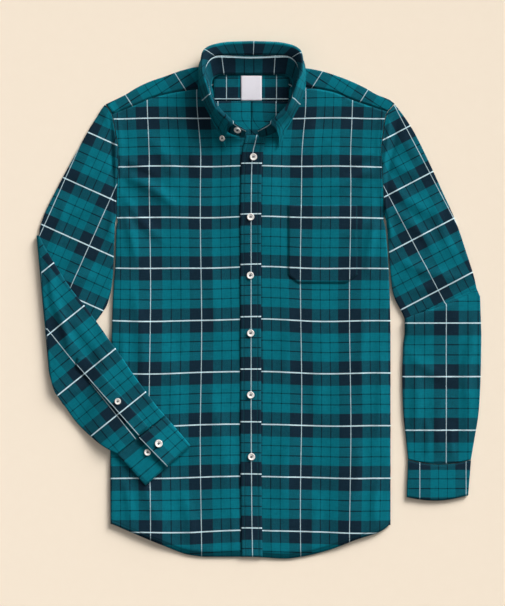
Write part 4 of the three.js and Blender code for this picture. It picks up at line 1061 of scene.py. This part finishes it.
def rightSleeve():
    rows = clearOfBody("right", rowsAlong(rightUpper, 76))
    x, y, u, h, over = ringsOf(rows)
    x = x + rows["bow"][:, None] * armholeBow("right", u)
    upper = stack(x, y, h + creased(x, y, u, over, rightUpperCreases, creaseShare["sleeve"]))
    upperCheck = rightUpperCheck(x, y)

    (x, y, u, h, _), outX, outY = oneRing(rightFold)
    angles = np.linspace(0, math.pi, 17)[1:-1, None]
    radius = foldAxis - h + 0 * angles
    bulge = radius * np.sin(angles) * smooth(-0.02, 0.1, u)
    bend = stack(x + outX * bulge, y + outY * bulge, foldAxis - radius * np.cos(angles))

    rows = rowsAlong(rightLower, 96)
    rows = {name: np.concatenate([[rightFold[name]], values]) for name, values in rows.items()}
    x, y, u, h, over = ringsOf(rows)
    shown = ~over & (h < floorLayer + 1.0).all(axis=0)
    lift = creased(x, y, u, shown, rightLowerCreases, creaseShare["foldedSleeve"], 0.1)
    z = underFoldedSleeve(x, y) + rows["deep"][:, None] + cloth["wall"] - h + lift
    fromFold = smooth(0, 8, np.arange(len(x), dtype=float))[:, None]
    lower = stack(x, y, mix(2 * foldAxis - h, z, fromFold))
    lowerCheck = rightLowerCheck(x, y)
    share = smooth(0, 1, np.linspace(0, 1, len(bend)))[:, None]
    upperEnd = (upperCheck[0][-1:], upperCheck[1][-1:])
    lowerStart = (lowerCheck[0][:1], lowerCheck[1][:1])
    check = joinChecks(upperCheck, mixChecks(upperEnd, lowerStart, share), lowerCheck)
    return np.concatenate([upper, bend, lower]), check


rightSleevePoints, rightSleeveCheck = rightSleeve()
makeSheet("sleeve_right_cloth", rightSleevePoints, rightSleeveCheck, ["sleeve_right"], ring=True)

leftUpper = table(
    "ax ay bx by deep bow",
    (216, 141, 233, 318, 3.4, 1), (219, 130, 238, 312, 3.4, 0.95), (221, 115, 245, 303, 2.2, 0.85),
    (223, 84, 262, 277, 3.0, 0.55), (226, 45, 285, 231, 3.4, 0.2), (229, 18, 308, 180, 3.4, 0),
    (234, 2, 331, 129, 3.4, 0), (240, -10, 349, 76, 3.2, 0), (246, -21, 361, 38, 3.0, 0),
    (249, -29, 365, 20, 3.0, 0),
)
leftTuck = {"ax": 249.0, "ay": -29.0, "bx": 365.0, "by": 20.0, "deep": 3.0}
leftLower = table(
    "ax ay bx by deep sag",
    (246.5, -71, 372.5, -56, 3.6, 0), (245, -122, 371.5, -117, 3.4, 1), (246.5, -177, 368.5, -176, 3.2, 3),
    (251, -222, 361.5, -222, 3.0, 5), (254.5, -256.5, 355.5, -257, 3.0, 7),
)
tuckSteps = table(
    "flat fold up",
    (-2, 0, 0), (-1, 5, 0), (0, 10, 0), (1, 13.4, 0.04), (2, 14, 0.25), (3, 13.4, 0.46), (4, 10, 0.5),
    (5, 4, 0.5), (6, 0.8, 0.5), (8, 0, 0.75), (10, 0.8, 1), (13, 7, 1), (16, 14, 1), (21, 21, 0.86),
    (26, 28, 0.72),
)
leftUpperCreases = [
    (222, 190, 300, 140, 9, 1.8, -6), (224, 150, 300, 80, 8, 1.6, 6), (226, 226, 280, 204, 8, 1.3, -5),
    (234, 70, 330, 40, 8, 1.5, -6), (240, 20, 340, 96, 8, 1.6, 6), (262, 14, 352, 50, 7, 1.3, -4),
    (244, 270, 284, 224, 10, 1.0, -4), (296, 176, 330, 70, 8, 1.1, -6), (222, 170, 228, 96, 6, 1.5, -3),
    (236, 296, 217, 196, 4, -1.3, 4), (224, 300, 213, 210, 3.5, 0.9, 2),
]
leftLowerCreases = [
    (256, -60, 330, -20, 8, 1.7, 6), (252, -84, 330, -130, 10, 1.3, -6), (364, -40, 350, -160, 9, 1.4, -6),
    (266, -110, 262, -220, 9, 1.4, 5), (350, -130, 344, -240, 8, 1.2, 4), (310, -150, 306, -250, 9, 1.2, -5),
    (284, -190, 286, -252, 5, 1.1, 2), (326, -200, 326, -256, 5, 1.1, -2),
]


def leftSleeve():
    rows = clearOfBody("left", rowsAlong(leftUpper, 76))
    x, y, u, h, over = ringsOf(rows)
    x = x + rows["bow"][:, None] * armholeBow("left", u)
    upper = stack(x, y, h + creased(x, y, u, over, leftUpperCreases, creaseShare["sleeve"]))
    upperCheck = leftUpperCheck(x, y)

    # The tuck moves along the sleeve, less towards its outer edge and not sideways at its inner one
    (x, y, u, h, over), squareX, squareY = oneRing(leftTuck)
    overlap = np.where(over[None, :], 1 - smooth(0.1, 0.62, u), 0)
    lifted = np.where(over[None, :], 1 - smooth(0.55, 0.95, u), 0)
    shift = mix(tuckSteps["flat"][:, None], tuckSteps["fold"][:, None], overlap) * mix(0.55, 1, 1 - u)
    z = h + 2 * layer * tuckSteps["up"][:, None] * lifted + soft(x, y, leftUpperCreases) * lifted * 0.5
    tuck = stack(x - squareX * shift * smooth(0, 0.14, u), y - squareY * shift, z)
    share = smooth(3, 9, np.arange(len(tuck), dtype=float))[:, None]
    tuckCheck = mixChecks(checkOver(tuck, leftUpperCheck), checkOver(tuck, leftLowerCheck), share)

    rows = rowsAlong(leftLower, 62)
    x, y, u, h, over = ringsOf(rows)
    y = y - rows["sag"][:, None] * np.sin(np.pi * np.clip(u, 0, 1))
    lower = stack(x, y, h + creased(x, y, u, over, leftLowerCreases, creaseShare["sleeve"]))
    # The cloth between the tuck's lip and the lower sleeve eases down
    easing = np.linspace(0, 1, 8)[1:-1, None, None]
    between = mix(tuck[-1:], lower[:1], easing)
    between[..., 2] = mix(tuck[-1:, :, 2], lower[:1, :, 2], smooth(0, 1, easing)[..., 0])
    check = joinChecks(upperCheck, tuckCheck, checkOver(between, leftLowerCheck), leftLowerCheck(x, y))
    return np.concatenate([upper, tuck, between, lower]), check


leftSleevePoints, leftSleeveCheck = leftSleeve()
makeSheet("sleeve_left_cloth", leftSleevePoints, leftSleeveCheck, ["sleeve_left"], ring=True)
print("sleeves ready")

# Cuffs
cuffRight = {
    "seamA": (-215.9, -247.7), "seamB": (-138.3, -186.6), "endA": (-170.0, -298.0),
    "endB": (-98.0, -234.0),
    "flapAtSeam": 0.425, "flapAtEnd": 0.455, "overlap": 0.24,
    "deep": 69.0,
}
# Heights of its under side, its button end, and the flap at its root and at its edge
cuffLow = cloth["stiffWall"] / 2 + 0.3
cuffHeights = {"low": cuffLow, "end": cuffLow + 2.2, "side": cuffLow + 3.4, "edge": cuffLow + 6.3}


def cuffSection(length, flap):
    # From the button end round the inner side, along the under side, round the outer side, to the flap
    low = cuffHeights["low"]
    under = (cuffHeights["end"] - low) / 2
    over = (cuffHeights["side"] - low) / 2
    inner = under / length
    outer = over / length
    bend = np.pi * np.arange(6) / 6
    flapShares = mix(1 - outer, flap, np.linspace(0, 1, 22))
    shares = [
        mix(flap + cuffRight["overlap"], inner, np.linspace(0, 1, 24, endpoint=False)),
        inner - inner * np.sin(bend),
        mix(inner, 1 - outer, np.linspace(0, 1, 26, endpoint=False)),
        1 - outer + outer * np.sin(bend),
        flapShares,
    ]
    heights = [
        np.full(24, cuffHeights["end"]), low + under + under * np.cos(bend),
        np.full(26, low), low + over - over * np.cos(bend),
        mix(cuffHeights["edge"], cuffHeights["side"], (flapShares - flap) / (1 - flap)),
    ]
    return np.concatenate(shares), np.concatenate(heights)


def cuffRightGrid():
    rows = []
    corners = {name: np.array(cuffRight[name]) for name in ("seamA", "seamB", "endA", "endB")}
    for t in np.linspace(0, 1, 18):
        a = mix(corners["seamA"], corners["endA"], t)
        b = mix(corners["seamB"], corners["endB"], t)
        flap = mix(cuffRight["flapAtSeam"], cuffRight["flapAtEnd"], t)
        shares, heights = cuffSection(np.linalg.norm(b - a), flap)
        x, y = (mix(a[k], b[k], shares) for k in (0, 1))
        rows.append(stack(x, y, underFoldedSleeve(x, y) + heights))
    return np.stack(rows)


cuffPoints = cuffRightGrid()
fromEnd = runAlong(cuffPoints, 1)
fromFlap = fromEnd[:, -1:] - fromEnd
cuffDown = np.linspace(0, cuffRight["deep"], len(cuffPoints))[:, None] + 0 * fromFlap
cuffLines = table("run u", (0, -0.04), (3.2, 0), (82, 1), (125, 1.5), (260, 1.8))
cuffCheck = (curve(cuffLines, "run", "u")(fromFlap), (cuffDown + 8) / 100)
makeSheet("cuff_right_cloth", cuffPoints, cuffCheck, ["cuff_right"], finish="stitched",
          thickness=cloth["stiffShell"], edges=("start", "end", "low", "high"))

cuffLeft = table(
    "ax ay bx by deep sag",
    (254.5, -257.4, 355.5, -257.9, 3.2, 7), (254, -278, 354, -277, 3.6, 7),
    (253, -298, 352.5, -296, 3.8, 7), (252.5, -317.5, 351, -314.6, 3.4, 7),
)
rows = rowsAlong(cuffLeft, 18)
x, y, u, h, over = ringsOf(rows)
y = y - rows["sag"][:, None] * np.sin(np.pi * np.clip(u, 0, 1))
dent = soft(x, y, [(346, -262, 340, -310, 4, -0.7, 0), (270, -262, 268, -312, 9, 0.5, 0)])
h = h + (cloth["stiffWall"] - cloth["wall"]) / 2 + np.where(over[None, :], dent, 0)
makeSheet("cuff_left_cloth", stack(x, y, h), ((x - 273.1) / 74.9, (y + 254) / repeat), ["cuff_left"],
          ring=True, finish="stitched", thickness=cloth["stiffShell"], edges=("start", "end"))

# Sleeve placket, with its point
sleevePlacket = {
    "x0": -283.5, "y0": -105.0, "x1": -183.0, "y1": -218.7, "width": 24.0, "point": 9.0, "above": 1.1,
}
dx = sleevePlacket["x1"] - sleevePlacket["x0"]
dy = sleevePlacket["y1"] - sleevePlacket["y0"]
length = math.hypot(dx, dy)
along = np.linspace(0, 1, 40)[:, None]
across = np.linspace(0, 1, 9)[None, :]
aside = across * sleevePlacket["width"]
point = (1 - np.abs(across - 0.5) * 2) * sleevePlacket["point"] / length * (1 - smooth(0, 0.08, along))
x = sleevePlacket["x0"] + dx * (along - point) - dy / length * aside
y = sleevePlacket["y0"] + dy * (along - point) + dx / length * aside
sleeveTop = underFoldedSleeve(x, y) + rightFold["deep"] + cloth["wall"]
sleeveTop = sleeveTop + creaseShare["foldedSleeve"] * soft(x, y, rightLowerCreases)
makeSheet("sleeve_placket_cloth", stack(x, y, sleeveTop + sleevePlacket["above"]),
          ((aside - 3.0 + 0 * x) / repeat, rightLowerCheck(x, y)[1]), ["sleeve_placket"],
          finish="stitched", edges=("start", "high"))
print("cuffs ready")

# Collar
collar = {"centre": 1.5, "standSwell": 1.6, "leafRise": 0.9, "standCount": 60, "leafCount": 64}
standRows = table(
    "footX footY footZ seamX seamY seamZ",
    (0, 366.3, 4.1, 0, 396, 13.5), (31, 366.3, 4.1, 32, 396.5, 14), (50, 366, 4.6, 55, 395.5, 17),
    (63, 359, 6.4, 70, 386, 22), (65.5, 349, 6.6, 75, 371, 27), (65, 338, 6.8, 71, 350, 30),
    (63.5, 324, 6.8, 64, 329, 31), (60, 305, 6.8, 56, 313, 31), (48.5, 282, 7.2, 47, 303, 29),
    (31, 269.5, 8, 28, 286, 26), (11.5, 264.5, 9.2, 9.5, 275, 20),
)
leafRows = table(
    "crestX crestY crestZ edgeX edgeY edgeZ round lie belly",
    (0, 414.3, 17.5, 0, 377, 1.2, 5, 3, 0), (34, 413.5, 18, 33, 379, 1.2, 5, 3, 0),
    (60, 409.5, 22, 62, 388, 1.4, 5, 3, 0), (76, 400, 28, 82, 390, 3.4, 4, 2, 0),
    (80, 377, 33, 87.5, 366, 7, 3, 2, 0), (73.5, 351, 36, 87, 346, 7, 3, 2, 0),
    (66, 329, 36.5, 79.5, 321, 6.6, 4, 2, 0), (58.5, 313, 35.5, 70, 303, 6.6, 5, 3, 0),
    (49.5, 304, 34, 62.5, 288, 6.8, 6, 5, 0), (40, 296.5, 32.5, 53.5, 272, 7.4, 7, 9, 2),
    (33.5, 291, 31, 48.5, 259, 7.8, 8, 13, 4), (29, 287, 29.5, 42.5, 247, 7.8, 8, 17, 6),
)


def bothSides(rows, count, mirroredColumns):
    half = rowsAlong(rows, count)
    sign = np.concatenate([-np.ones(count - 1), np.ones(count)])
    result = {}
    for name, values in half.items():
        whole = np.concatenate([values[:0:-1], values])
        result[name] = collar["centre"] + sign * whole if name in mirroredColumns else whole
    result["sign"] = sign
    return result


def collarStand():
    rows = bothSides(standRows, collar["standCount"], ("footX", "seamX"))
    t = np.linspace(0, 1, 10)[None, :]
    x, y, z = (mix(rows["foot" + axis][:, None], rows["seam" + axis][:, None], t) for axis in "XYZ")
    return stack(x, y, z - collar["standSwell"] * np.sin(np.pi * t))


def centripetal(points, count):
    # A smooth curve through a few points, even in its bends
    ends = [points[0] * 2 - points[1]] + list(points) + [points[-1] * 2 - points[-2]]
    result = []
    spans = len(points) - 1
    for t in np.linspace(0, spans, count):
        i = min(int(t), spans - 1)
        p = ends[i:i + 4]
        f = t - i
        ks = [0.0]
        for a, b in zip(p, p[1:]):
            ks.append(ks[-1] + max(np.linalg.norm(b - a), 1e-6) ** 0.5)
        at = mix(ks[1], ks[2], f)
        for reach in (1, 2):
            pairs = enumerate(zip(p, p[1:]))
            p = [mix(a, b, (at - ks[j]) / (ks[j + reach] - ks[j])) for j, (a, b) in pairs]
        result.append(mix(p[0], p[1], (at - ks[1]) / (ks[2] - ks[1])))
    return np.array(result)


def unit(vector):
    return vector / max(np.linalg.norm(vector), 1e-9)


def place(rows, name, k):
    return np.array([rows[name + axis][k] for axis in "XYZ"])


def collarLeaf():
    count = collar["leafCount"]
    short = {name: values[:-1] for name, values in standRows.items()}
    stand = bothSides(short, count, ("seamX", "footX"))
    leaf = bothSides(leafRows, count, ("crestX", "edgeX"))
    level = np.array([1, 1, 0])
    up = np.array([0, 0, 1])
    sections = []
    for k in range(2 * count - 1):
        row = {name: leaf[name][k] for name in ("round", "lie", "belly", "sign")}
        start = place(stand, "seam", k)
        start = start + unit(start - place(stand, "foot", k)) * collar["leafRise"]
        crest = place(leaf, "crest", k)
        edge = place(leaf, "edge", k)
        fall = unit((edge - crest) * level)
        behind = 1 - smooth(0.2, 0.42, abs(k - count + 1) / (count - 1))
        over = unit(mix(fall, unit((crest - start) * level), behind))
        belly = np.array([row["sign"] * row["belly"], 0, 0])
        first = crest + over * row["round"] * 0.5 + up * 0.2
        shoulder = crest + over * row["round"] * mix(1.0, 0.9, behind) + belly * 0.7
        shoulder = shoulder - up * mix(2.5, 7.5, behind)
        flat = edge - fall * row["lie"] + belly + up * (0.6 + 0.1 * row["lie"])
        sections.append(centripetal([start, crest, first, shoulder, flat, edge], 26))
    return np.stack(sections)


def fromMiddle(points, column):
    # Run along one column, from the middle of the collar
    run = runAlong(points, 0)[:, column:column + 1]
    return run - run[len(points) // 2]


standPoints = collarStand()
standRun = fromMiddle(standPoints, 0) + 0 * standPoints[..., 0]
standDown = np.linspace(0, 30, 10)[None, :]
standLines = table("run u", (-215, -1.98), (-126, -1), (-45, 0), (35.7, 1), (116, 2), (215, 2.98))
standRise = np.minimum(3 * (standRun / 60) ** 2, 8) * (1 - smooth(130, 175, np.abs(standRun)))
standCheck = (curve(standLines, "run", "u")(standRun), (standDown - 27 - standRise) / 120.0)
makeSheet("collar_stand_cloth", standPoints, standCheck, ["collar_stand"], finish="stitched",
          thickness=cloth["stiffShell"], edges=("low", "high", "start", "end"))

leafPoints = collarLeaf()
leafRun = fromMiddle(leafPoints, 6) + 0 * leafPoints[..., 0]
leafLines = table("run u", (-260, -2.9), (-156, -2), (-80, -1), (0, 0), (80, 1), (156, 2), (260, 2.9))
toFront = smooth(110, 190, np.abs(leafRun))
leafDown = runAlong(leafPoints, 1) + 1 - 6 * toFront
makeSheet("collar_leaf_cloth", leafPoints, (curve(leafLines, "run", "u")(leafRun - 3), leafDown / repeat),
          ["collar_leaf"], finish="wideStitched", thickness=cloth["stiffShell"],
          edges=("high", "start", "end"))
print("collar ready")

# Buttons: a dished disc with four holes, sewn on with dark thread
# The sizes are shares of its radius
button = {"hole": 0.102, "holeCircle": 0.26, "segments": 40, "seat": 0.18}


def buttonMesh():
    # One button of radius 1 with its face up, in a mesh to be copied
    profile = [
        (0.0, 0.0), (0.74, 0.0), (0.92, 0.05), (0.995, 0.16), (1.0, 0.24), (0.96, 0.33), (0.88, 0.365),
        (0.78, 0.35), (0.70, 0.28), (0.62, 0.25), (0.0, 0.235),
    ]
    bm = bmesh.new()
    rings = []
    for radius, height in profile:
        if radius == 0:
            rings.append([bm.verts.new((0, 0, height))])
            continue
        ring = []
        for k in range(button["segments"]):
            angle = 2 * math.pi * k / button["segments"]
            ring.append(bm.verts.new((radius * math.cos(angle), radius * math.sin(angle), height)))
        rings.append(ring)
    for low, high in zip(rings, rings[1:]):
        for k in range(button["segments"]):
            after = (k + 1) % button["segments"]
            if len(low) == 1:
                bm.faces.new((low[0], high[after], high[k]))
            elif len(high) == 1:
                bm.faces.new((low[k], low[after], high[0]))
            else:
                bm.faces.new((low[k], low[after], high[after], high[k]))
    bmesh.ops.recalc_face_normals(bm, faces=bm.faces)
    disc = bpy.data.meshes.new("buttonDisc")
    bm.to_mesh(disc)
    bm.free()
    cutter = bmesh.new()
    for k in range(4):
        angle = math.pi / 4 + math.pi / 2 * k
        away = button["holeCircle"]
        middle = Vector((away * math.cos(angle), away * math.sin(angle), 0.15))
        made = bmesh.ops.create_cone(
            cutter, cap_ends=True, segments=16, radius1=button["hole"], radius2=button["hole"], depth=0.8,
        )
        bmesh.ops.translate(cutter, vec=middle, verts=made["verts"])
    holes = bpy.data.meshes.new("buttonHoles")
    cutter.to_mesh(holes)
    cutter.free()
    discObject = addObject("buttonDisc", disc)
    holesObject = addObject("buttonHoles", holes)
    cut = discObject.modifiers.new("holes", "BOOLEAN")
    cut.object = holesObject
    cut.operation = "DIFFERENCE"
    cut.solver = "EXACT"
    bpy.context.view_layer.update()
    evaluated = discObject.evaluated_get(bpy.context.evaluated_depsgraph_get())
    result = bpy.data.meshes.new_from_object(evaluated)
    for one in (discObject, holesObject):
        bpy.data.objects.remove(one)
    return result


def threadMesh():
    # Two bars of thread across the holes of a button of radius 1
    bm = bmesh.new()
    for side in (-1, 1):
        made = bmesh.ops.create_uvsphere(bm, u_segments=12, v_segments=8, radius=1.0)
        for vert in made["verts"]:
            x, y, z = vert.co
            vert.co = Vector((
                side * button["holeCircle"] * 0.62 + x * 0.15,
                y * button["holeCircle"] * 1.15,
                0.25 + z * 0.10,
            ))
    mesh = bpy.data.meshes.new("buttonThread")
    bm.to_mesh(mesh)
    bm.free()
    return mesh


def nodeAxis(name):
    # Middle, axis and radius of a button of the frame, from the spread of its points
    source = bpy.data.objects[name]
    places = np.array([tuple(source.matrix_world @ vert.co) for vert in source.data.vertices])
    low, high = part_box(name)
    middle = (np.array(low) + np.array(high)) / 2
    _, vectors = np.linalg.eigh(np.cov((places - places.mean(axis=0)).T))
    axis = vectors[:, 0]
    spread = (places - middle) @ axis
    reach = np.linalg.norm(places - middle, axis=1).max()
    return middle, axis, math.sqrt(max(reach ** 2 - ((spread.max() - spread.min()) / 2) ** 2, 1e-8))


discTemplate = buttonMesh()
threadTemplate = threadMesh()
facing = {"button_neck": (-0.3, -1.0, 0.3)}
# How far each button is turned about its own axis, in degrees
turns = {
    "button_front_1": 8, "button_front_2": -14, "button_front_3": 30, "button_front_4": 4,
    "button_front_5": -22, "button_front_6": 17, "button_sleeve": 40, "button_cuff_right_flap": 52,
    "button_cuff_right_end": 35, "button_collar": 12, "button_neck": 25,
}
for name, degrees in turns.items():
    middle, axis, radius = nodeAxis(name)
    if np.dot(axis, facing.get(name, (0, 0, 1))) < 0:
        axis = -axis
    turn = Vector((0, 0, 1)).rotation_difference(Vector(axis)).to_matrix()
    spin = math.radians(degrees)
    whole = bpy.data.meshes.new(name + "_resin")
    bm = bmesh.new()
    for template, slotIndex in ((discTemplate, 0), (threadTemplate, 1)):
        first = len(bm.faces)
        bm.from_mesh(template)
        bm.faces.ensure_lookup_table()
        for face in bm.faces[first:]:
            face.material_index = slotIndex
            face.smooth = True
    for vert in bm.verts:
        x, y, z = vert.co
        flat = Vector((
            (x * math.cos(spin) - y * math.sin(spin)) * radius,
            (x * math.sin(spin) + y * math.cos(spin)) * radius,
            (z - button["seat"]) * radius,
        ))
        vert.co = Vector(middle) + turn @ flat
    bm.to_mesh(whole)
    bm.free()
    whole.materials.append(finishes["resin"])
    whole.materials.append(finishes["thread"])
    piece = addObject(name + "_resin", whole)
    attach(piece, "root")
    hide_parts(name)
print("buttons ready")

# Floor, light and camera
floor = {"half": 9.0, "z": -0.0003}
floorMesh = bpy.data.meshes.new("floor")
signs = ((-1, -1), (1, -1), (1, 1), (-1, 1))
corners = [(x * floor["half"], y * floor["half"], floor["z"]) for x, y in signs]
floorMesh.from_pydata(corners, [], [(0, 1, 2, 3)])
floorMesh.materials.append(floorPaper())
addObject("floor", floorMesh)

view = {"middleX": 2.4, "middleY": -3.2, "height": 981.7, "distance": 3.6}
cameraData = bpy.data.cameras.new("camera")
cameraData.sensor_fit = "VERTICAL"
cameraData.angle = 2 * math.atan(view["height"] / 2000 / view["distance"])
camera = addObject("camera", cameraData)
camera.location = (view["middleX"] / 1000 + shiftX, view["middleY"] / 1000 + shiftY, view["distance"])
bpy.context.scene.camera = camera


def addLight(name, kind, place, energy, colour, **others):
    # A light at a place, turned to the middle of the shirt
    data = bpy.data.lights.new(name, kind)
    data.energy = energy
    data.color = colour
    for field, value in others.items():
        setattr(data, field, value)
    light = addObject(name, data)
    light.location = place
    light.rotation_euler = Vector(place).to_track_quat("Z", "Y").to_euler()


warmWhite = (1.0, 0.99, 0.97)
addLight("key", "SUN", (1.35, 1.65, 0.9), 3.3, warmWhite, angle=0.36)
addLight("skylight", "SUN", (1.2, 1.4, 0.65), 3.2, warmWhite, angle=1.0)
addLight("fill", "AREA", (-1.8, -0.6, 2.4), 6, (0.97, 0.98, 1.0), shape="DISK", size=2.4)
world = bpy.data.worlds.new("studio")
world.use_nodes = True
background = world.node_tree.nodes["Background"]
background.inputs["Color"].default_value = (*warmWhite, 1)
background.inputs["Strength"].default_value = 0.22
bpy.context.scene.world = world
bpy.context.scene.view_settings.view_transform = "Standard"
print("light ready")
